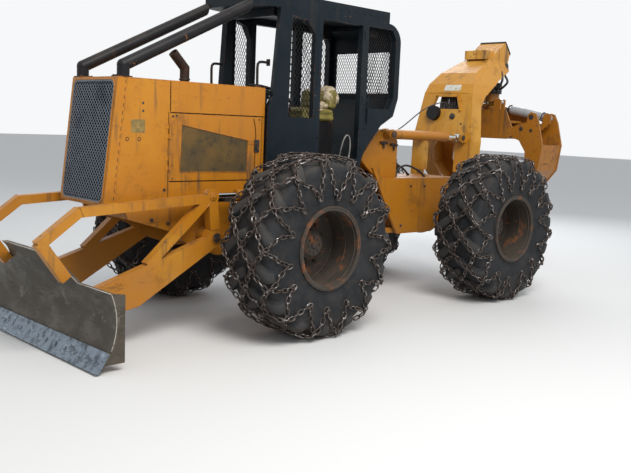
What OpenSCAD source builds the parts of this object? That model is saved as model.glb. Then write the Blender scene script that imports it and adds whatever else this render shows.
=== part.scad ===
// Articulated log skidder with a front blade, an open guarded canopy and a grapple arch.
// Millimetres. +X is forward, +Y is the left side, +Z is up.
// Positions are written from the ground point under the front axle, and every node is
// shifted at the end so that the origin is the middle of the machine's footprint.

/* [Wheels and tyres] */
// Distance between the front and rear axles
wheelbase = 2820; // [2600:10:3000]
// Distance from the centre line to the middle of each tyre
track_half = 1040; // [1000:5:1150]
// Half of a tyre's section width at its widest
tyre_half_w = 284; // [250:1:300]
// Radius of the tread between its lugs
tread_r = 746; // [700:1:780]
// Height of a lug
lug_h = 29; // [10:1:60]
// Number of lugs on each half of a tyre
lug_count = 12; // [10:1:20]
// Number of cells round a tyre chain's net
chain_cells = 10; // [8:1:14]
// Thickness of a tyre chain
chain_t = 14; // [8:1:20]
// Width of a strand of tyre chain
chain_w = 34; // [16:1:50]
// Radius of the chain's inner knots on the side walls
chain_reach = 470; // [400:1:600]
// Radius of a rim's barrel
rim_r = 338; // [300:1:360]
// Half of a rim's width
rim_half_w = 262; // [220:1:270]
// Height of a rim's flange above its barrel
flange_h = 24; // [10:1:40]
// Distance from the rim's middle plane to its disc, towards the machine
disc_inset = 70; // [20:1:120]
// Radius of an axle housing
axle_r = 105; // [70:1:140]

/* [Hood] */
// Half width of the hood
hood_half_w = 358; // [300:1:400]
// Height of the hood's top
hood_top = 2130; // [2000:5:2300]
// Height of the hood's lower edge
hood_bottom = 1112; // [1050:1:1200]
// Foremost point of the hood's top edge
hood_nose = 1487; // [1400:1:1600]
// How far the nose leans forward from its top to its bottom
nose_lean = 118; // [0:1:200]
// Rear end of the hood
hood_rear = -20; // [-60:1:0]
// Thickness of the hood's sheet
hood_t = 14; // [8:1:30]
// Front edge of the engine doors
door_front = 1000; // [900:1:1100]
// Rear edge of the engine doors
door_rear = 12; // [-20:1:100]
// Upper edge of the engine doors
door_top = 1865; // [1700:1:1950]
// Lower edge of the engine doors
door_bottom = 1305; // [1200:1:1400]

/* [Canopy] */
// Height of the operator's floor
floor_z = 1420; // [1350:5:1500]
// Height of the roof's underside
roof_z = 2850; // [2600:10:3000]
// Thickness of the roof
roof_t = 110; // [60:1:200]
// Half width of the canopy at its front posts
cab_front_half_w = 400; // [360:1:450]
// Half width of the canopy behind its second posts
cab_half_w = 510; // [460:1:560]
// Thickness of the canopy's posts and side walls
cab_t = 60; // [30:1:100]
// Place of the front posts
post1_x = -150; // [-200:1:-50]
// Place of the second posts, at the front of the door opening
post2_x = -530; // [-600:1:-450]
// Place of the third posts, behind the door opening
post3_x = -1160; // [-1250:1:-1050]
// Rear edge of the canopy at window height
cab_rear_x = -1690; // [-1750:1:-1500]
// Pitch of the bars in the window guards
guard_pitch = 90; // [40:1:150]
// Thickness of a bar in the window guards
guard_bar = 10; // [6:1:16]

/* [Blade and push frame] */
// Half width of the blade
blade_half_w = 1062; // [900:1:1150]
// Radius of the blade's curved face
blade_r = 515; // [400:1:700]
// Thickness of the blade's plate
blade_t = 25; // [12:1:40]
// Height of the blade above the ground when it is parked
blade_lift = 12; // [10:1:60]
// Height of the blade's outer top edge
blade_top = 580; // [500:1:700]
// Height of the blade's raised middle
blade_crown = 800; // [700:1:850]
// Distance from the centre line to each push arm's middle
arm_y = 500; // [470:1:560]
// Width of a push arm across the machine
arm_w = 76; // [40:1:100]
// Place of the push arms' rear pivot
arm_pivot = [637, 830];
// Place of the lift cylinders' front pin
lift_pin = [674, 1185];
// Place of the lift cylinders' rear pin
lift_base = [-120, 1185];
// Radius of the push arms' pins
arm_pin_r = 34; // [20:1:45]

/* [Cylinders] */
// Radius of a lift cylinder's barrel
lift_barrel_r = 46; // [35:1:60]
// Radius of an arch cylinder's barrel
arch_barrel_r = 52; // [40:1:60]
// Radius of a steering cylinder's barrel
steer_barrel_r = 40; // [30:1:50]
// Radius of a tong cylinder's barrel
tong_barrel_r = 54; // [40:1:60]
// A rod's radius as a share of its barrel's
rod_share = 0.5; // [0.4:0.01:0.6]
// Running clearance between pins, rods and what holds them
gap = 0.5; // [0.3:0.1:1]

/* [Rear frame and arch] */
// Half width of the rear frame's box
rear_half_w = 330; // [300:1:345]
// Distance from the centre line to the outer face of each ear plate
ear_y = 250; // [200:1:252]
// Thickness of the frame's plates
plate_t = 28; // [16:1:40]
// Distance from the centre line to the arch cylinders
arch_cyl_y = 308; // [306:1:330]
// Place of the arch cylinders' front pin
arch_base = [-1825, 1752];
// Place of the arch cylinders' rod eye
arch_eye = [-3060, 1738];
// Place of the arch's pivot on the rear frame
arch_pivot = [-3180, 1050];
// Half width of the arch at the height of its cylinders
arch_half_w = 432; // [400:1:460]
// Half width of the arch's head
head_half_w = 185; // [150:1:240]
// Place of the grapple's cross pin in the arch's head
hang_pin = [-4120, 2640];

/* [Grapple] */
// Distance from the grapple's middle plane to each of its outer plates
grapple_half_d = 262; // [240:1:300]
// Half width of the top of the grapple's outer plates
grapple_half_w = 400; // [350:1:450]
// Height of the top of the grapple's head box
grapple_top = 2095; // [2050:1:2150]
// Place of a tong's pivot, across and up
tong_pivot = [430, 1820];
// Place of the pin between a tong and its cylinder, across and up
tong_horn = [745, 2015];
// Place of a tong cylinder's rod eye past the middle, across and up
tong_anchor = [-255, 2190];
// Distance fore and aft from the grapple's middle to each tong cylinder
tong_cyl_x = 172; // [168:1:180]

/* [Articulation] */
// Distance of the steering joint behind the front axle
pivot_back = 1410; // [1350:5:1450]
// Radius of the steering joint's pins
pivot_pin_r = 45; // [30:1:60]
// Place of a steering cylinder's front pin, ahead of the steering joint and across
steer_front = [230, 230];
// Place of a steering cylinder's rear pin, behind the steering joint and across
steer_rear = [560, 200];
// Height of the steering cylinders
steer_z = 930; // [880:1:980]

/* [Hidden] */
$fn = 48;

// Colours as seen on the machine
paint = [0.83, 0.52, 0.08];
cab_paint = [0.07, 0.11, 0.12];
steel = [0.55, 0.56, 0.57];
worn_steel = [0.36, 0.34, 0.30];
rust = [0.42, 0.22, 0.11];
black = [0.06, 0.06, 0.07];
tyre_black = [0.10, 0.10, 0.11];
chrome = [0.75, 0.76, 0.78];
vinyl = [0.66, 0.60, 0.24];
barrel_silver = [0.62, 0.64, 0.66];

// A chain's strands run straight between knots, so its knots lie further out than the lugs
chain_gap = 0.3;
chain_r = (tread_r + lug_h + chain_gap) / cos(90 / chain_cells);
chain_y = tyre_half_w + chain_gap;
// A knot reaches this far to either side of its middle, in degrees
chain_spread = chain_w / 2 / chain_r * 180 / PI;
// The wheels stand between two rows of knots
axle_z = (chain_r + chain_t) * cos(90 / chain_cells - chain_spread);
pivot_x = -pivot_back;
// The foremost and rearmost points, at the push frame's nose and the grapple
bar_nose = [2212, 892];
bar_heel = [2004, 604];
bar_depth = 84;
front_reach = bar_nose[0] + bar_depth / 2 * (bar_nose[1] - bar_heel[1]) / norm(bar_nose - bar_heel);
rear_reach = hang_pin[0] - grapple_half_d;
x_mid = (front_reach + rear_reach) / 2;
hood_mid_z = (door_top + door_bottom) / 2;
rod_r = function(barrel_r) barrel_r * rod_share;

// Copies its children to the other side of the machine as well
module both() {
    children();
    mirror([0, 1, 0]) children();
}

// Chooses the side: 1 is left, -1 is right
module on_side(s) {
    if (s > 0) children();
    if (s < 0) mirror([0, 1, 0]) children();
}

// A plate whose outline is drawn in X and Z, from y_from towards the left by t
module plate_xz(points, y_from, t) {
    translate([0, y_from + t, 0]) rotate([90, 0, 0]) linear_extrude(t) polygon(points);
}

// A plate whose outline is drawn in Y and Z, from x_from forward by t
module plate_yz(points, x_from, t) {
    translate([x_from, 0, 0]) rotate([90, 0, 90]) linear_extrude(t) polygon(points);
}

// A round pin or tube along Y
module pin_y(at, r, y_from, y_to) {
    translate([at[0], y_to, at[1]]) rotate([90, 0, 0]) cylinder(r = r, h = y_to - y_from);
}

// The outline of a square bar between two points of the XZ plane, for a union that is drawn flat
module bar_outline(a, b, d) {
    translate(a) rotate(atan2(b[1] - a[1], b[0] - a[0])) translate([0, -d / 2]) square([norm(b - a), d]);
}

// A round tube between two points of the XZ plane at one Y
module rod_xz(a, b, y, r) {
    len = norm(b - a);
    tilt = atan2(b[0] - a[0], b[1] - a[1]);
    translate([a[0], y, a[1]]) rotate([0, tilt, 0]) cylinder(r = r, h = len);
}

// A bar of square edges between two points of the XZ plane, d deep, standing on Y
module bar_xz(a, b, y_from, w, d) {
    len = norm(b - a);
    tilt = atan2(b[0] - a[0], b[1] - a[1]);
    translate([a[0], y_from, a[1]]) rotate([0, tilt, 0]) translate([-d / 2, 0, 0]) cube([d, w, len]);
}

// FRONT FRAME
chassis_out = 350;
chassis_top = 1108;
floor_t = 30;
// Plate left between the notch over the front axle and the frame's top
notch_web = 66;
axle_notch_r = chassis_top - notch_web - axle_z;
trunnion_x = 290;
trunnion_r = 60;
steer_pin_r = 20;

module front_chassis() {
    seat_z = floor_z - floor_t - gap;
    side = [[1380, 1000], [970, 880], [760, 740], [480, 640], [-700, 640], [-1130, 600], [-1130, seat_z],
            [-100, seat_z], [-100, chassis_top], [1420, chassis_top]];
    inner = chassis_out - plate_t;
    color(paint) difference() {
        union() {
            difference() {
                both() plate_xz(side, inner, plate_t);
                rotate([90, 0, 0]) translate([0, axle_z, -500]) cylinder(r = axle_notch_r, h = 1000);
            }
            // Front cross plate, belly plates, rear bulkhead and the plate under the floor
            translate([1352, -inner - 1, 1000]) cube([30, 2 * inner + 2, chassis_top - 1000]);
            translate([330, -inner - 1, 700]) cube([170, 2 * inner + 2, 30]);
            translate([-1130, -inner - 1, 640]) cube([40, 2 * inner + 2, seat_z - 640]);
            translate([-1130, -inner - 1, seat_z - 30]) cube([1030, 2 * inner + 2, 30]);
            translate([-900, -inner - 1, 640]) cube([400, 2 * inner + 2, 30]);
            // Cross pieces that hold the front axle's trunnions
            for (x = [-trunnion_x, trunnion_x - 60]) translate([x, -inner - 1, axle_z - trunnion_r - 30]) {
                cube([60, 2 * inner + 2, chassis_top - 76 - (axle_z - trunnion_r - 30)]);
            }
            // Bosses that carry the push frame and the lift cylinders
            both() pin_y(arm_pivot, 72, chassis_out - 1, arm_y - arm_w / 2 - gap);
            both() pin_y(arm_pivot, arm_pin_r, chassis_out - 1, arm_y + arm_w / 2 + 14);
            both() pin_y(lift_base, 58, chassis_out - 1, arm_y - lift_barrel_r - gap);
            both() pin_y(lift_base, arm_pin_r, chassis_out - 1, arm_y + lift_barrel_r + 16);
            // Upper and lower forks of the steering joint
            for (z = [640, 1120]) translate([pivot_x, 0, z]) fork();
            // Lugs and pins of the steering cylinders
            both() steer_lugs([pivot_x + steer_front[0], steer_front[1]], -1129, true);
        }
        for (z = [640, 1120]) translate([pivot_x, 0, z - 90]) cylinder(r = pivot_pin_r, h = 300);
        rotate([0, 90, 0]) translate([-axle_z, 0, -trunnion_x - 50]) {
            cylinder(r = trunnion_r + gap, h = 2 * trunnion_x + 100);
        }
    }
}

// Two lugs from a cross plate at x_plate, with their pin or, at a rod's opened eye, only its heads
module steer_lugs(at, x_plate, pinned) {
    ahead = x_plate > at[0];
    reach = abs(x_plate - at[0]) + 34;
    for (z = [-58, 34]) translate([ahead ? at[0] - 34 : x_plate, at[1] - 38, steer_z + z]) cube([reach, 76, 24]);
    for (z = pinned ? [-68] : [-68, 57]) translate([at[0], at[1], steer_z + z]) {
        cylinder(r = steer_pin_r, h = pinned ? 136 : 11);
    }
}

// Two plates of the steering joint's fork, one above the other
module fork() {
    for (z = [0, 92]) translate([0, 0, z]) linear_extrude(34) {
        circle(r = 105);
        polygon([[0, -105], [0, 105], [300, 220], [300, -220]]);
    }
}

module front_axle() {
    color(paint) {
        axle_housing(0);
        rotate([0, 90, 0]) translate([-axle_z, 0, -trunnion_x]) cylinder(r = trunnion_r, h = 2 * trunnion_x);
    }
}

module axle_housing(x) {
    disc_face = track_half - disc_inset - 10 - gap;
    translate([x, 0, axle_z]) rotate([90, 0, 0]) {
        cylinder(r = axle_r, h = 2 * disc_face, center = true);
        for (s = [-1, 1]) translate([0, 0, s * (disc_face - 30)]) {
            cylinder(r = axle_r * 1.5, h = 60, center = true);
        }
        sphere(r = axle_r * 1.9);
    }
}

module engine_block() {
    color(black) {
        translate([180, -230, 1130]) cube([900, 460, 640]);
        // Bearers that rest on the chassis
        for (x = [300, 800]) translate([x, -336, chassis_top + gap]) cube([90, 672, 40]);
    }
}

function nose_x(z) = hood_nose + nose_lean * (hood_top - z) / (hood_top - hood_bottom);

module hood() {
    outer = [[hood_rear, hood_bottom + 90], [hood_rear, hood_top], [hood_nose, hood_top],
             [nose_x(hood_bottom), hood_bottom]];
    inner = [[hood_rear - 10, hood_bottom - 10], [hood_rear - 10, hood_top - hood_t],
             [hood_nose - hood_t, hood_top - hood_t], [nose_x(hood_bottom) - hood_t, hood_bottom - 10]];
    color(paint) {
        difference() {
            plate_xz(outer, -hood_half_w, 2 * hood_half_w);
            plate_xz(inner, -hood_half_w + hood_t, 2 * (hood_half_w - hood_t));
            // The openings behind the engine doors
            translate([door_rear - 6, -500, door_bottom - 6]) {
                cube([door_front - door_rear + 12, 1000, door_top - door_bottom + 12]);
            }
            // The opening for the grille in the leaning nose
            nose_window(0);
            // The lower edge rises towards the rear
            plate_xz([[hood_rear - 20, hood_bottom - 20], [hood_rear - 20, hood_bottom + 90],
                      [700, hood_bottom - 20]], -500, 1000);
        }
        both() hinge_leaves(1);
    }
}

hinge_axis = [door_front + 3, hood_half_w + 9.5];

// Half of the door hinges: side 1 on the hood, side -1 on the door
module hinge_leaves(side) {
    for (z = [door_bottom + 90, door_top - 210]) {
        zones = side > 0 ? [z, z + 80] : [z + 40];
        for (low = zones) {
            translate([hinge_axis[0], hinge_axis[1], low + gap / 2]) cylinder(r = 9, h = 40 - gap);
            translate([side > 0 ? hinge_axis[0] : hinge_axis[0] - 45, hood_half_w - 1, low + gap / 2]) {
                cube([45, 6, 40 - gap]);
            }
        }
    }
}

grille_low = hood_bottom + 105;
grille_high = hood_top - 60;
grille_half_w = 285;

// A prism through the nose, smaller all round by the given inset
module nose_window(inset) {
    lean = atan2(nose_lean, hood_top - hood_bottom);
    height = (grille_high - grille_low) / cos(lean) - 2 * inset;
    translate([nose_x(grille_low), 0, grille_low]) rotate([0, -lean, 0]) {
        translate([-60, -grille_half_w + inset, inset]) {
            rotate([90, 0, 90]) linear_extrude(120) rounded(2 * (grille_half_w - inset), height, 60);
        }
    }
}

// A rectangle with round corners
module rounded(w, h, r) {
    union() {
        translate([r, 0]) square([w - 2 * r, h]);
        translate([0, r]) square([w, h - 2 * r]);
        for (x = [r, w - r], y = [r, h - r]) translate([x, y]) circle(r = r);
    }
}

module grille() {
    lean = atan2(nose_lean, hood_top - hood_bottom);
    height = (grille_high - grille_low) / cos(lean);
    rows = 11;
    cols = 7;
    color(black) translate([nose_x(grille_low), 0, grille_low]) rotate([0, -lean, 0]) {
        translate([-22, -grille_half_w + gap, gap]) rotate([90, 0, 90]) difference() {
            linear_extrude(16) rounded(2 * (grille_half_w - gap), height - 2 * gap, 60);
            for (i = [0 : cols - 1], j = [0 : rows - 1]) {
                translate([45 + i * 70, 50 + j * 76, -1]) cube([56, 60, 20]);
            }
        }
    }
}

module engine_door(s) {
    color(paint) on_side(s) {
        difference() {
            translate([door_rear, hood_half_w - hood_t, door_bottom]) {
                cube([door_front - door_rear, hood_t, door_top - door_bottom]);
            }
            plate_xz([[880, 1770], [164, 1652], [169, 1372], [891, 1379]], hood_half_w - 5, 10);
        }
        hinge_leaves(-1);
    }
}

// CANOPY
roof_front = 160;
roof_curve = 190;
guard_h = 440;

module cab_floor() {
    color(cab_paint) {
        linear_extrude_from(floor_z - floor_t, floor_t) polygon(floor_plan(0));
    }
}

module linear_extrude_from(z, h) {
    translate([0, 0, z]) linear_extrude(h) children();
}

front_x = hood_rear - gap;

// The floor's outline, narrow at the front
function floor_plan(inset) = [[front_x - inset, -cab_front_half_w + inset], [post2_x, -cab_half_w + inset],
    [post3_x, -cab_half_w + inset], [post3_x, cab_half_w - inset], [post2_x, cab_half_w - inset],
    [front_x - inset, cab_front_half_w - inset]];

// The side wall in X and Z with its door opening and windows
module side_profile() {
    difference() {
        union() {
            polygon([[front_x, floor_z], [front_x, 1960], [post1_x + 85, 2050], [post1_x + 30, roof_z],
                     [cab_rear_x + roof_curve, roof_z], [cab_rear_x, roof_z - roof_curve], [cab_rear_x, 2120],
                     [-1626, 1935], [-1445, 1835], [-1215, 1590], [-1150, floor_z]]);
            translate([cab_rear_x + roof_curve, roof_z - roof_curve]) circle(r = roof_curve);
        }
        // Front side window
        polygon([[post1_x - 80, 1880], [post1_x - 90, roof_z - 60], [post2_x + 130, roof_z - 90],
                 [post2_x + 45, roof_z - 210], [post2_x + 40, 1880]]);
        // Door opening
        polygon([[post2_x - 40, 1500], [post2_x - 40, roof_z - 60], [post3_x + 45, roof_z - 60],
                 [post3_x + 45, 1500]]);
        // Rear side window
        polygon([[post3_x - 45, 2000], [post3_x - 45, roof_z - 60], [cab_rear_x + 130, roof_z - 60],
                 [cab_rear_x + 75, roof_z - 150], [cab_rear_x + 75, 2120], [cab_rear_x + 140, 2000]]);
    }
}

module cab_side(s) {
    color(cab_paint) on_side(s) {
        difference() {
            translate([0, cab_half_w, 0]) rotate([90, 0, 0]) linear_extrude(cab_t) side_profile();
            translate([post2_x, 0, 0]) cube([2000, 2000, 9000]);
        }
        // The front part runs inwards to the front posts
        intersection() {
            front_side_wall();
            translate([post2_x, 0, 0]) cube([2000, 2000, 9000]);
        }
    }
}

module front_side_wall() {
    on_front_wall() rotate([90, 0, 0]) linear_extrude(cab_t) side_profile();
}

// Turns its children, drawn along the straight side, into the slanting front part of the side wall
module on_front_wall() {
    run = front_x - post2_x;
    turn = atan2(cab_half_w - cab_front_half_w, run);
    translate([post2_x, cab_half_w, 0]) rotate([0, 0, -turn]) scale([1 / cos(turn), 1, 1]) {
        translate([-post2_x, 0, 0]) children();
    }
}

module cab_front() {
    color(cab_paint) {
        w = cab_front_half_w - cab_t - 22;
        translate([front_x - 40, -w, floor_z]) cube([30, 2 * w, 2030 - floor_z]);
        translate([post1_x - 20, -w, roof_z - 70]) cube([50, 2 * w, 70]);
    }
}

module cab_rear() {
    w = cab_half_w - cab_t - gap;
    t = 30;
    curve = [cab_rear_x + roof_curve, roof_z - roof_curve];
    color(cab_paint) difference() {
        translate([0, w, 0]) rotate([90, 0, 0]) linear_extrude(2 * w) {
            bar_outline([-1205, floor_z + 60], [-1662, 2100], 20);
            translate([cab_rear_x, 2080]) square([t, curve[1] - 2079]);
            // The curved upper corner, with a lip under the roof
            difference() {
                union() {
                    translate(curve) circle(r = roof_curve);
                    translate([curve[0] - 1, roof_z - t]) square([40, t]);
                }
                polygon([[cab_rear_x + t, curve[1] - 1], [cab_rear_x + t, curve[1] + 90],
                         [curve[0] - 70, roof_z - t], [curve[0] + 200, roof_z - t], [curve[0] + 200, curve[1] - 1]]);
                translate([curve[0] - 500, curve[1] - 500]) square([1000, 500]);
                translate([curve[0] + 39, curve[1]]) square([500, 500]);
            }
        }
        translate([cab_rear_x - 10, -w + 60, 2160]) cube([100, 2 * w - 120, guard_h]);
    }
}

module cab_roof() {
    color(cab_paint) linear_extrude_from(roof_z + gap, roof_t) {
        polygon([[roof_front, -330], [post2_x, -cab_half_w], [cab_rear_x + roof_curve, -cab_half_w],
                 [cab_rear_x + roof_curve, cab_half_w], [post2_x, cab_half_w], [roof_front, 330]]);
    }
}

module window_guards() {
    w = cab_half_w - cab_t - 62;
    low = 1868;
    side_y = cab_half_w - cab_t - gap;
    color(black) {
        translate([cab_rear_x + 10, 0, 0]) {
            // The rear guard
            for (y = [-w : guard_pitch : w]) translate([0, y, 2160]) cube([guard_bar, guard_bar, guard_h]);
            for (z = [2200 : guard_pitch : 2580]) translate([0, -w - 1, z]) {
                cube([guard_bar, 2 * w + 2, guard_bar]);
            }
        }
        both() {
            // Behind the rear side window
            translate([0, side_y, 0]) guard_panel([[post3_x - 35, 1990], [post3_x - 35, roof_z - 50],
                [cab_rear_x + 142, roof_z - 50], [cab_rear_x + 66, roof_z - 156], [cab_rear_x + 66, 2118],
                [cab_rear_x + 140, 1990]]);
            // Behind the front side window, along the slanting wall
            on_front_wall() translate([0, -cab_t - gap, 0]) {
                guard_panel([[post1_x - 70, low], [post1_x - 70, roof_z - 50], [post2_x + 30, roof_z - 50],
                             [post2_x + 30, low]]);
            }
        }
    }
}

// A guard of crossed bars with a border, drawn in X and Z, that reaches inwards from Y = 0
module guard_panel(points) {
    count = len(points);
    xs = [for (p = points) p[0]];
    zs = [for (p = points) p[1]];
    rotate([90, 0, 0]) linear_extrude(guard_bar) intersection() {
        polygon(points);
        union() {
            for (i = [0 : count - 1]) bar_outline(points[i], points[(i + 1) % count], 2 * guard_bar);
            for (x = [min(xs) + guard_pitch : guard_pitch : max(xs) - guard_bar]) {
                translate([x, min(zs)]) square([guard_bar, max(zs) - min(zs)]);
            }
            for (z = [min(zs) + guard_pitch : guard_pitch : max(zs) - guard_bar]) {
                translate([min(xs), z]) square([max(xs) - min(xs), guard_bar]);
            }
        }
    }
}

seat_h = 430;
cushion_h = 130;

module seat_base() {
    color(black) translate([-1060, -200, floor_z]) cube([400, 400, seat_h]);
}

module seat_cushion() {
    color(vinyl) translate([-1085, -240, floor_z + seat_h + gap]) cube([480, 480, cushion_h]);
}

module seat_back() {
    z = floor_z + seat_h + cushion_h + 2 * gap;
    color(vinyl) plate_xz([[-1085, z], [-975, z], [-1025, z + 340], [-1135, z + 340]], -240, 480);
}

module controls() {
    wheel_at = [-345, 0, 2105];
    color(black) {
        // Steering column with its wheel
        translate([-125, 0, floor_z]) cylinder(r = 60, h = 26);
        rod_xz([-125, floor_z + 16], [wheel_at[0], wheel_at[2]], 0, 26);
        translate(wheel_at) rotate([0, -18, 0]) {
            rotate_extrude() translate([185, 0]) circle(r = 15);
            cylinder(r = 40, h = 40, center = true);
            for (a = [0, 120, 240]) rotate([0, 0, a]) translate([20, -12, -6]) cube([160, 24, 12]);
        }
        // Lever console and its levers
        translate([-420, 215, floor_z]) cube([160, 110, 420]);
        for (x = [-390, -340, -290]) rod_xz([x, floor_z + 400], [x - 20, floor_z + 600], 270, 9);
    }
}

module limb_risers() {
    riser_r = 50;
    foot = [1418, hood_top + gap];
    bend = [1418, hood_top + 92];
    top = [roof_front - 20, roof_z];
    color(black) both() difference() {
        union() {
            rod_xz(foot, bend, 318, riser_r);
            translate([bend[0], 318, bend[1]]) sphere(r = riser_r + 1);
            rod_xz(bend, top, 318, riser_r);
        }
        // Their upper ends are cut to butt against the roof
        translate([roof_front + gap - 500, 0, 2000]) cube([500, 1000, 2000]);
    }
}

module exhaust() {
    pipe_r = 42;
    foot = [612, hood_top + gap];
    bend = [612, 2262];
    end = [738, 2388];
    color(rust) difference() {
        union() {
            rod_xz(foot, bend, 0, pipe_r);
            translate([bend[0], 0, bend[1]]) sphere(r = pipe_r + 1);
            rod_xz(bend, end, 0, pipe_r);
        }
        rod_xz(end - [70, 70], end + [70, 70], 0, pipe_r - 5);
    }
}

module work_lamps() {
    color(black) {
        for (s = [-1, 1]) translate([cab_rear_x + 245, s * 330 - 80, roof_z - 130]) cube([110, 160, 130]);
    }
}

// WHEELS
lug_edges = [0, 0.12, 0.46, 0.58];
lug_skew = 0.62;

// The bead's flats just clear the rim
bead_r = (rim_r + gap) / cos(90 / lug_count);
// Rows of a tyre's section: across, radius, share of lug height, turn in pitches, columns a pitch
tyre_rows = [[-235, bead_r, 0, lug_skew, 2], [-tyre_half_w, 590, 0, lug_skew, 2],
             [-tyre_half_w + 18, tread_r - 8, 0.96, lug_skew, 4], [-30, tread_r, 1, 0, 4],
             [30, tread_r, 1, 0.5, 4], [tyre_half_w - 18, tread_r - 8, 0.96, 0.5 + lug_skew, 4],
             [tyre_half_w, 590, 0, 0.5 + lug_skew, 2], [235, bead_r, 0, 0.5 + lug_skew, 2]];
// Columns a pitch of all rows before each one
tyre_start = [0, 2, 4, 8, 12, 16, 20, 22];

// Triangles of one pitch between two rows: column of the lower row, of the upper row,
// and which of them the triangle takes a step along (0 lower, 1 upper)
even_steps = [[0, 0, 0], [1, 0, 1], [1, 1, 0], [2, 1, 1], [2, 2, 0], [3, 2, 1], [3, 3, 0], [4, 3, 1]];
finer_steps = [[0, 0, 1], [0, 1, 1], [0, 2, 0], [1, 2, 1], [1, 3, 1], [1, 4, 0]];
coarser_steps = [[0, 0, 0], [1, 0, 0], [2, 0, 1], [2, 1, 0], [3, 1, 0], [4, 1, 1]];
function tyre_steps(row) = let (low = tyre_rows[row][4], high = tyre_rows[(row + 1) % 8][4])
    low < high ? finer_steps : low > high ? coarser_steps : [for (i = [0 : 2 * low - 1]) even_steps[i]];

// Back at the first row, columns count half a pitch on
function tyre_point(row, lug, column) = let (here = row % 8, count = lug_count * tyre_rows[here][4])
    lug_count * tyre_start[here] + (lug * tyre_rows[here][4] + column + (row == 8 ? 1 : 0)) % count;

module tyre() {
    pitch = 360 / lug_count;
    points = [for (row = tyre_rows) for (k = [0 : lug_count * row[4] - 1])
        let (place = row[4] == 4 ? lug_edges[k % 4] : k % 2 / 2,
             turn = (floor(k / row[4]) + place + row[3]) * pitch,
             raised = k % 4 == 1 || k % 4 == 2 ? row[2] * lug_h : 0)
        [(row[1] + raised) * sin(turn), row[0], (row[1] + raised) * cos(turn)]];
    faces = [for (row = [0 : 7]) for (lug = [0 : lug_count - 1]) for (s = tyre_steps(row))
        s[2] == 0 ? [tyre_point(row, lug, s[0]), tyre_point(row, lug, s[0] + 1), tyre_point(row + 1, lug, s[1])]
                  : [tyre_point(row, lug, s[0]), tyre_point(row + 1, lug, s[1] + 1),
                     tyre_point(row + 1, lug, s[1])]];
    polyhedron(points, faces);
}

// Rows of knots of a chain's net from one side wall over the tread to the other.
// Each row: places before, at and after its knots, as [across, radius], and its shift in cells
function chain_rows(grow) = let (y = chain_y + grow, r = chain_r + grow, low = chain_reach, w = chain_w / 2) [
    [[-y, low - w], [-y, low], [-y, low + w], 0.5],
    [[-y, r - w], [-y, r], [-y + w, r], 0],
    [[-w, r], [0, r], [w, r], 0.5],
    [[y - w, r], [y, r], [y, r - w], 0],
    [[y, low + w], [y, low], [y, low - w], 0.5]];

// Points of the net: by row, knot, corner (later, onward, earlier, back) and inner or outer side
function chain_points() = [for (row = [0 : 4]) for (k = [0 : chain_cells - 1]) for (corner = [0 : 3])
    for (side = [0, 1])
    let (places = chain_rows(side * chain_t)[row], place = places[[1, 2, 1, 0][corner]],
         spread = row == 0 || row == 4 ? chain_spread * chain_r / chain_reach : chain_spread,
         turn = (k + places[3] + 0.25) * 360 / chain_cells + [1, 0, -1, 0][corner] * spread)
    [place[1] * sin(turn), place[0], place[1] * cos(turn)]];

function knot(row, k, corner, side) =
    ((row * chain_cells + (k + chain_cells) % chain_cells) * 4 + corner) * 2 + side;

// Two triangles on the inner side and two on the outer side of a patch with these corners
function patch(a, b, c, d) = [[a, c, b], [a, d, c], [a + 1, b + 1, c + 1], [a + 1, c + 1, d + 1]];
// The wall between the inner and outer side along an edge
function wall(a, b) = [[a, b, b + 1], [a, b + 1, a + 1]];

function chain_faces() = [for (row = [0 : 4]) for (k = [0 : chain_cells - 1])
    let (e = knot(row, k, 0, 0), n = knot(row, k, 1, 0), w = knot(row, k, 2, 0), s = knot(row, k, 3, 0),
         step = row % 2 == 0 ? 1 : 0)
    each concat(
        patch(e, n, w, s),
        row == 0 ? concat(wall(s, e), wall(w, s)) : row == 4 ? concat(wall(e, n), wall(n, w)) : [],
        row == 4 ? [] : let (w2 = knot(row + 1, k + step, 2, 0), s2 = knot(row + 1, k + step, 3, 0))
            concat(patch(e, s2, w2, n), wall(e, s2), wall(w2, n)),
        row == 4 ? [] : let (e2 = knot(row + 1, k + step - 1, 0, 0), s2 = knot(row + 1, k + step - 1, 3, 0))
            concat(patch(w, n, e2, s2), wall(n, e2), wall(s2, w)))];

module chain() {
    polyhedron(chain_points(), chain_faces());
}

module tyre_at(x, s) {
    color(tyre_black) on_side(s) translate([x, track_half, axle_z]) tyre();
}

module chain_at(x, s) {
    color(worn_steel) on_side(s) translate([x, track_half, axle_z]) chain();
}

module rim_at(x, s) {
    wall = 14;
    hub_r = 130;
    color(rust) on_side(s) translate([x, track_half, axle_z]) rotate([-90, 0, 0]) {
        rotate_extrude() polygon([
            [rim_r - wall, -rim_half_w], [rim_r + flange_h, -rim_half_w], [rim_r + flange_h, -rim_half_w + wall],
            [rim_r, -rim_half_w + wall + 6], [rim_r, rim_half_w - wall - 6],
            [rim_r + flange_h, rim_half_w - wall], [rim_r + flange_h, rim_half_w], [rim_r - wall, rim_half_w],
            [rim_r - wall, -disc_inset + 10], [hub_r, -disc_inset + 10], [hub_r, 20], [hub_r - 40, 50],
            [0, 50], [0, -disc_inset - 10], [rim_r - wall, -disc_inset - 10]]);
    }
}

// BLADE
blade_c = [2412, 369];

module blade() {
    color(worn_steel) {
        blade_face(0);
        // End plates behind the blade's face
        both() plate_xz([[1818, 60], [2000, 60], [1930, 160], [1884, 330], [1890, 470], [1925, 578],
                         [1818, 560]], blade_half_w - 20 - 16, 16);
    }
}

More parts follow.
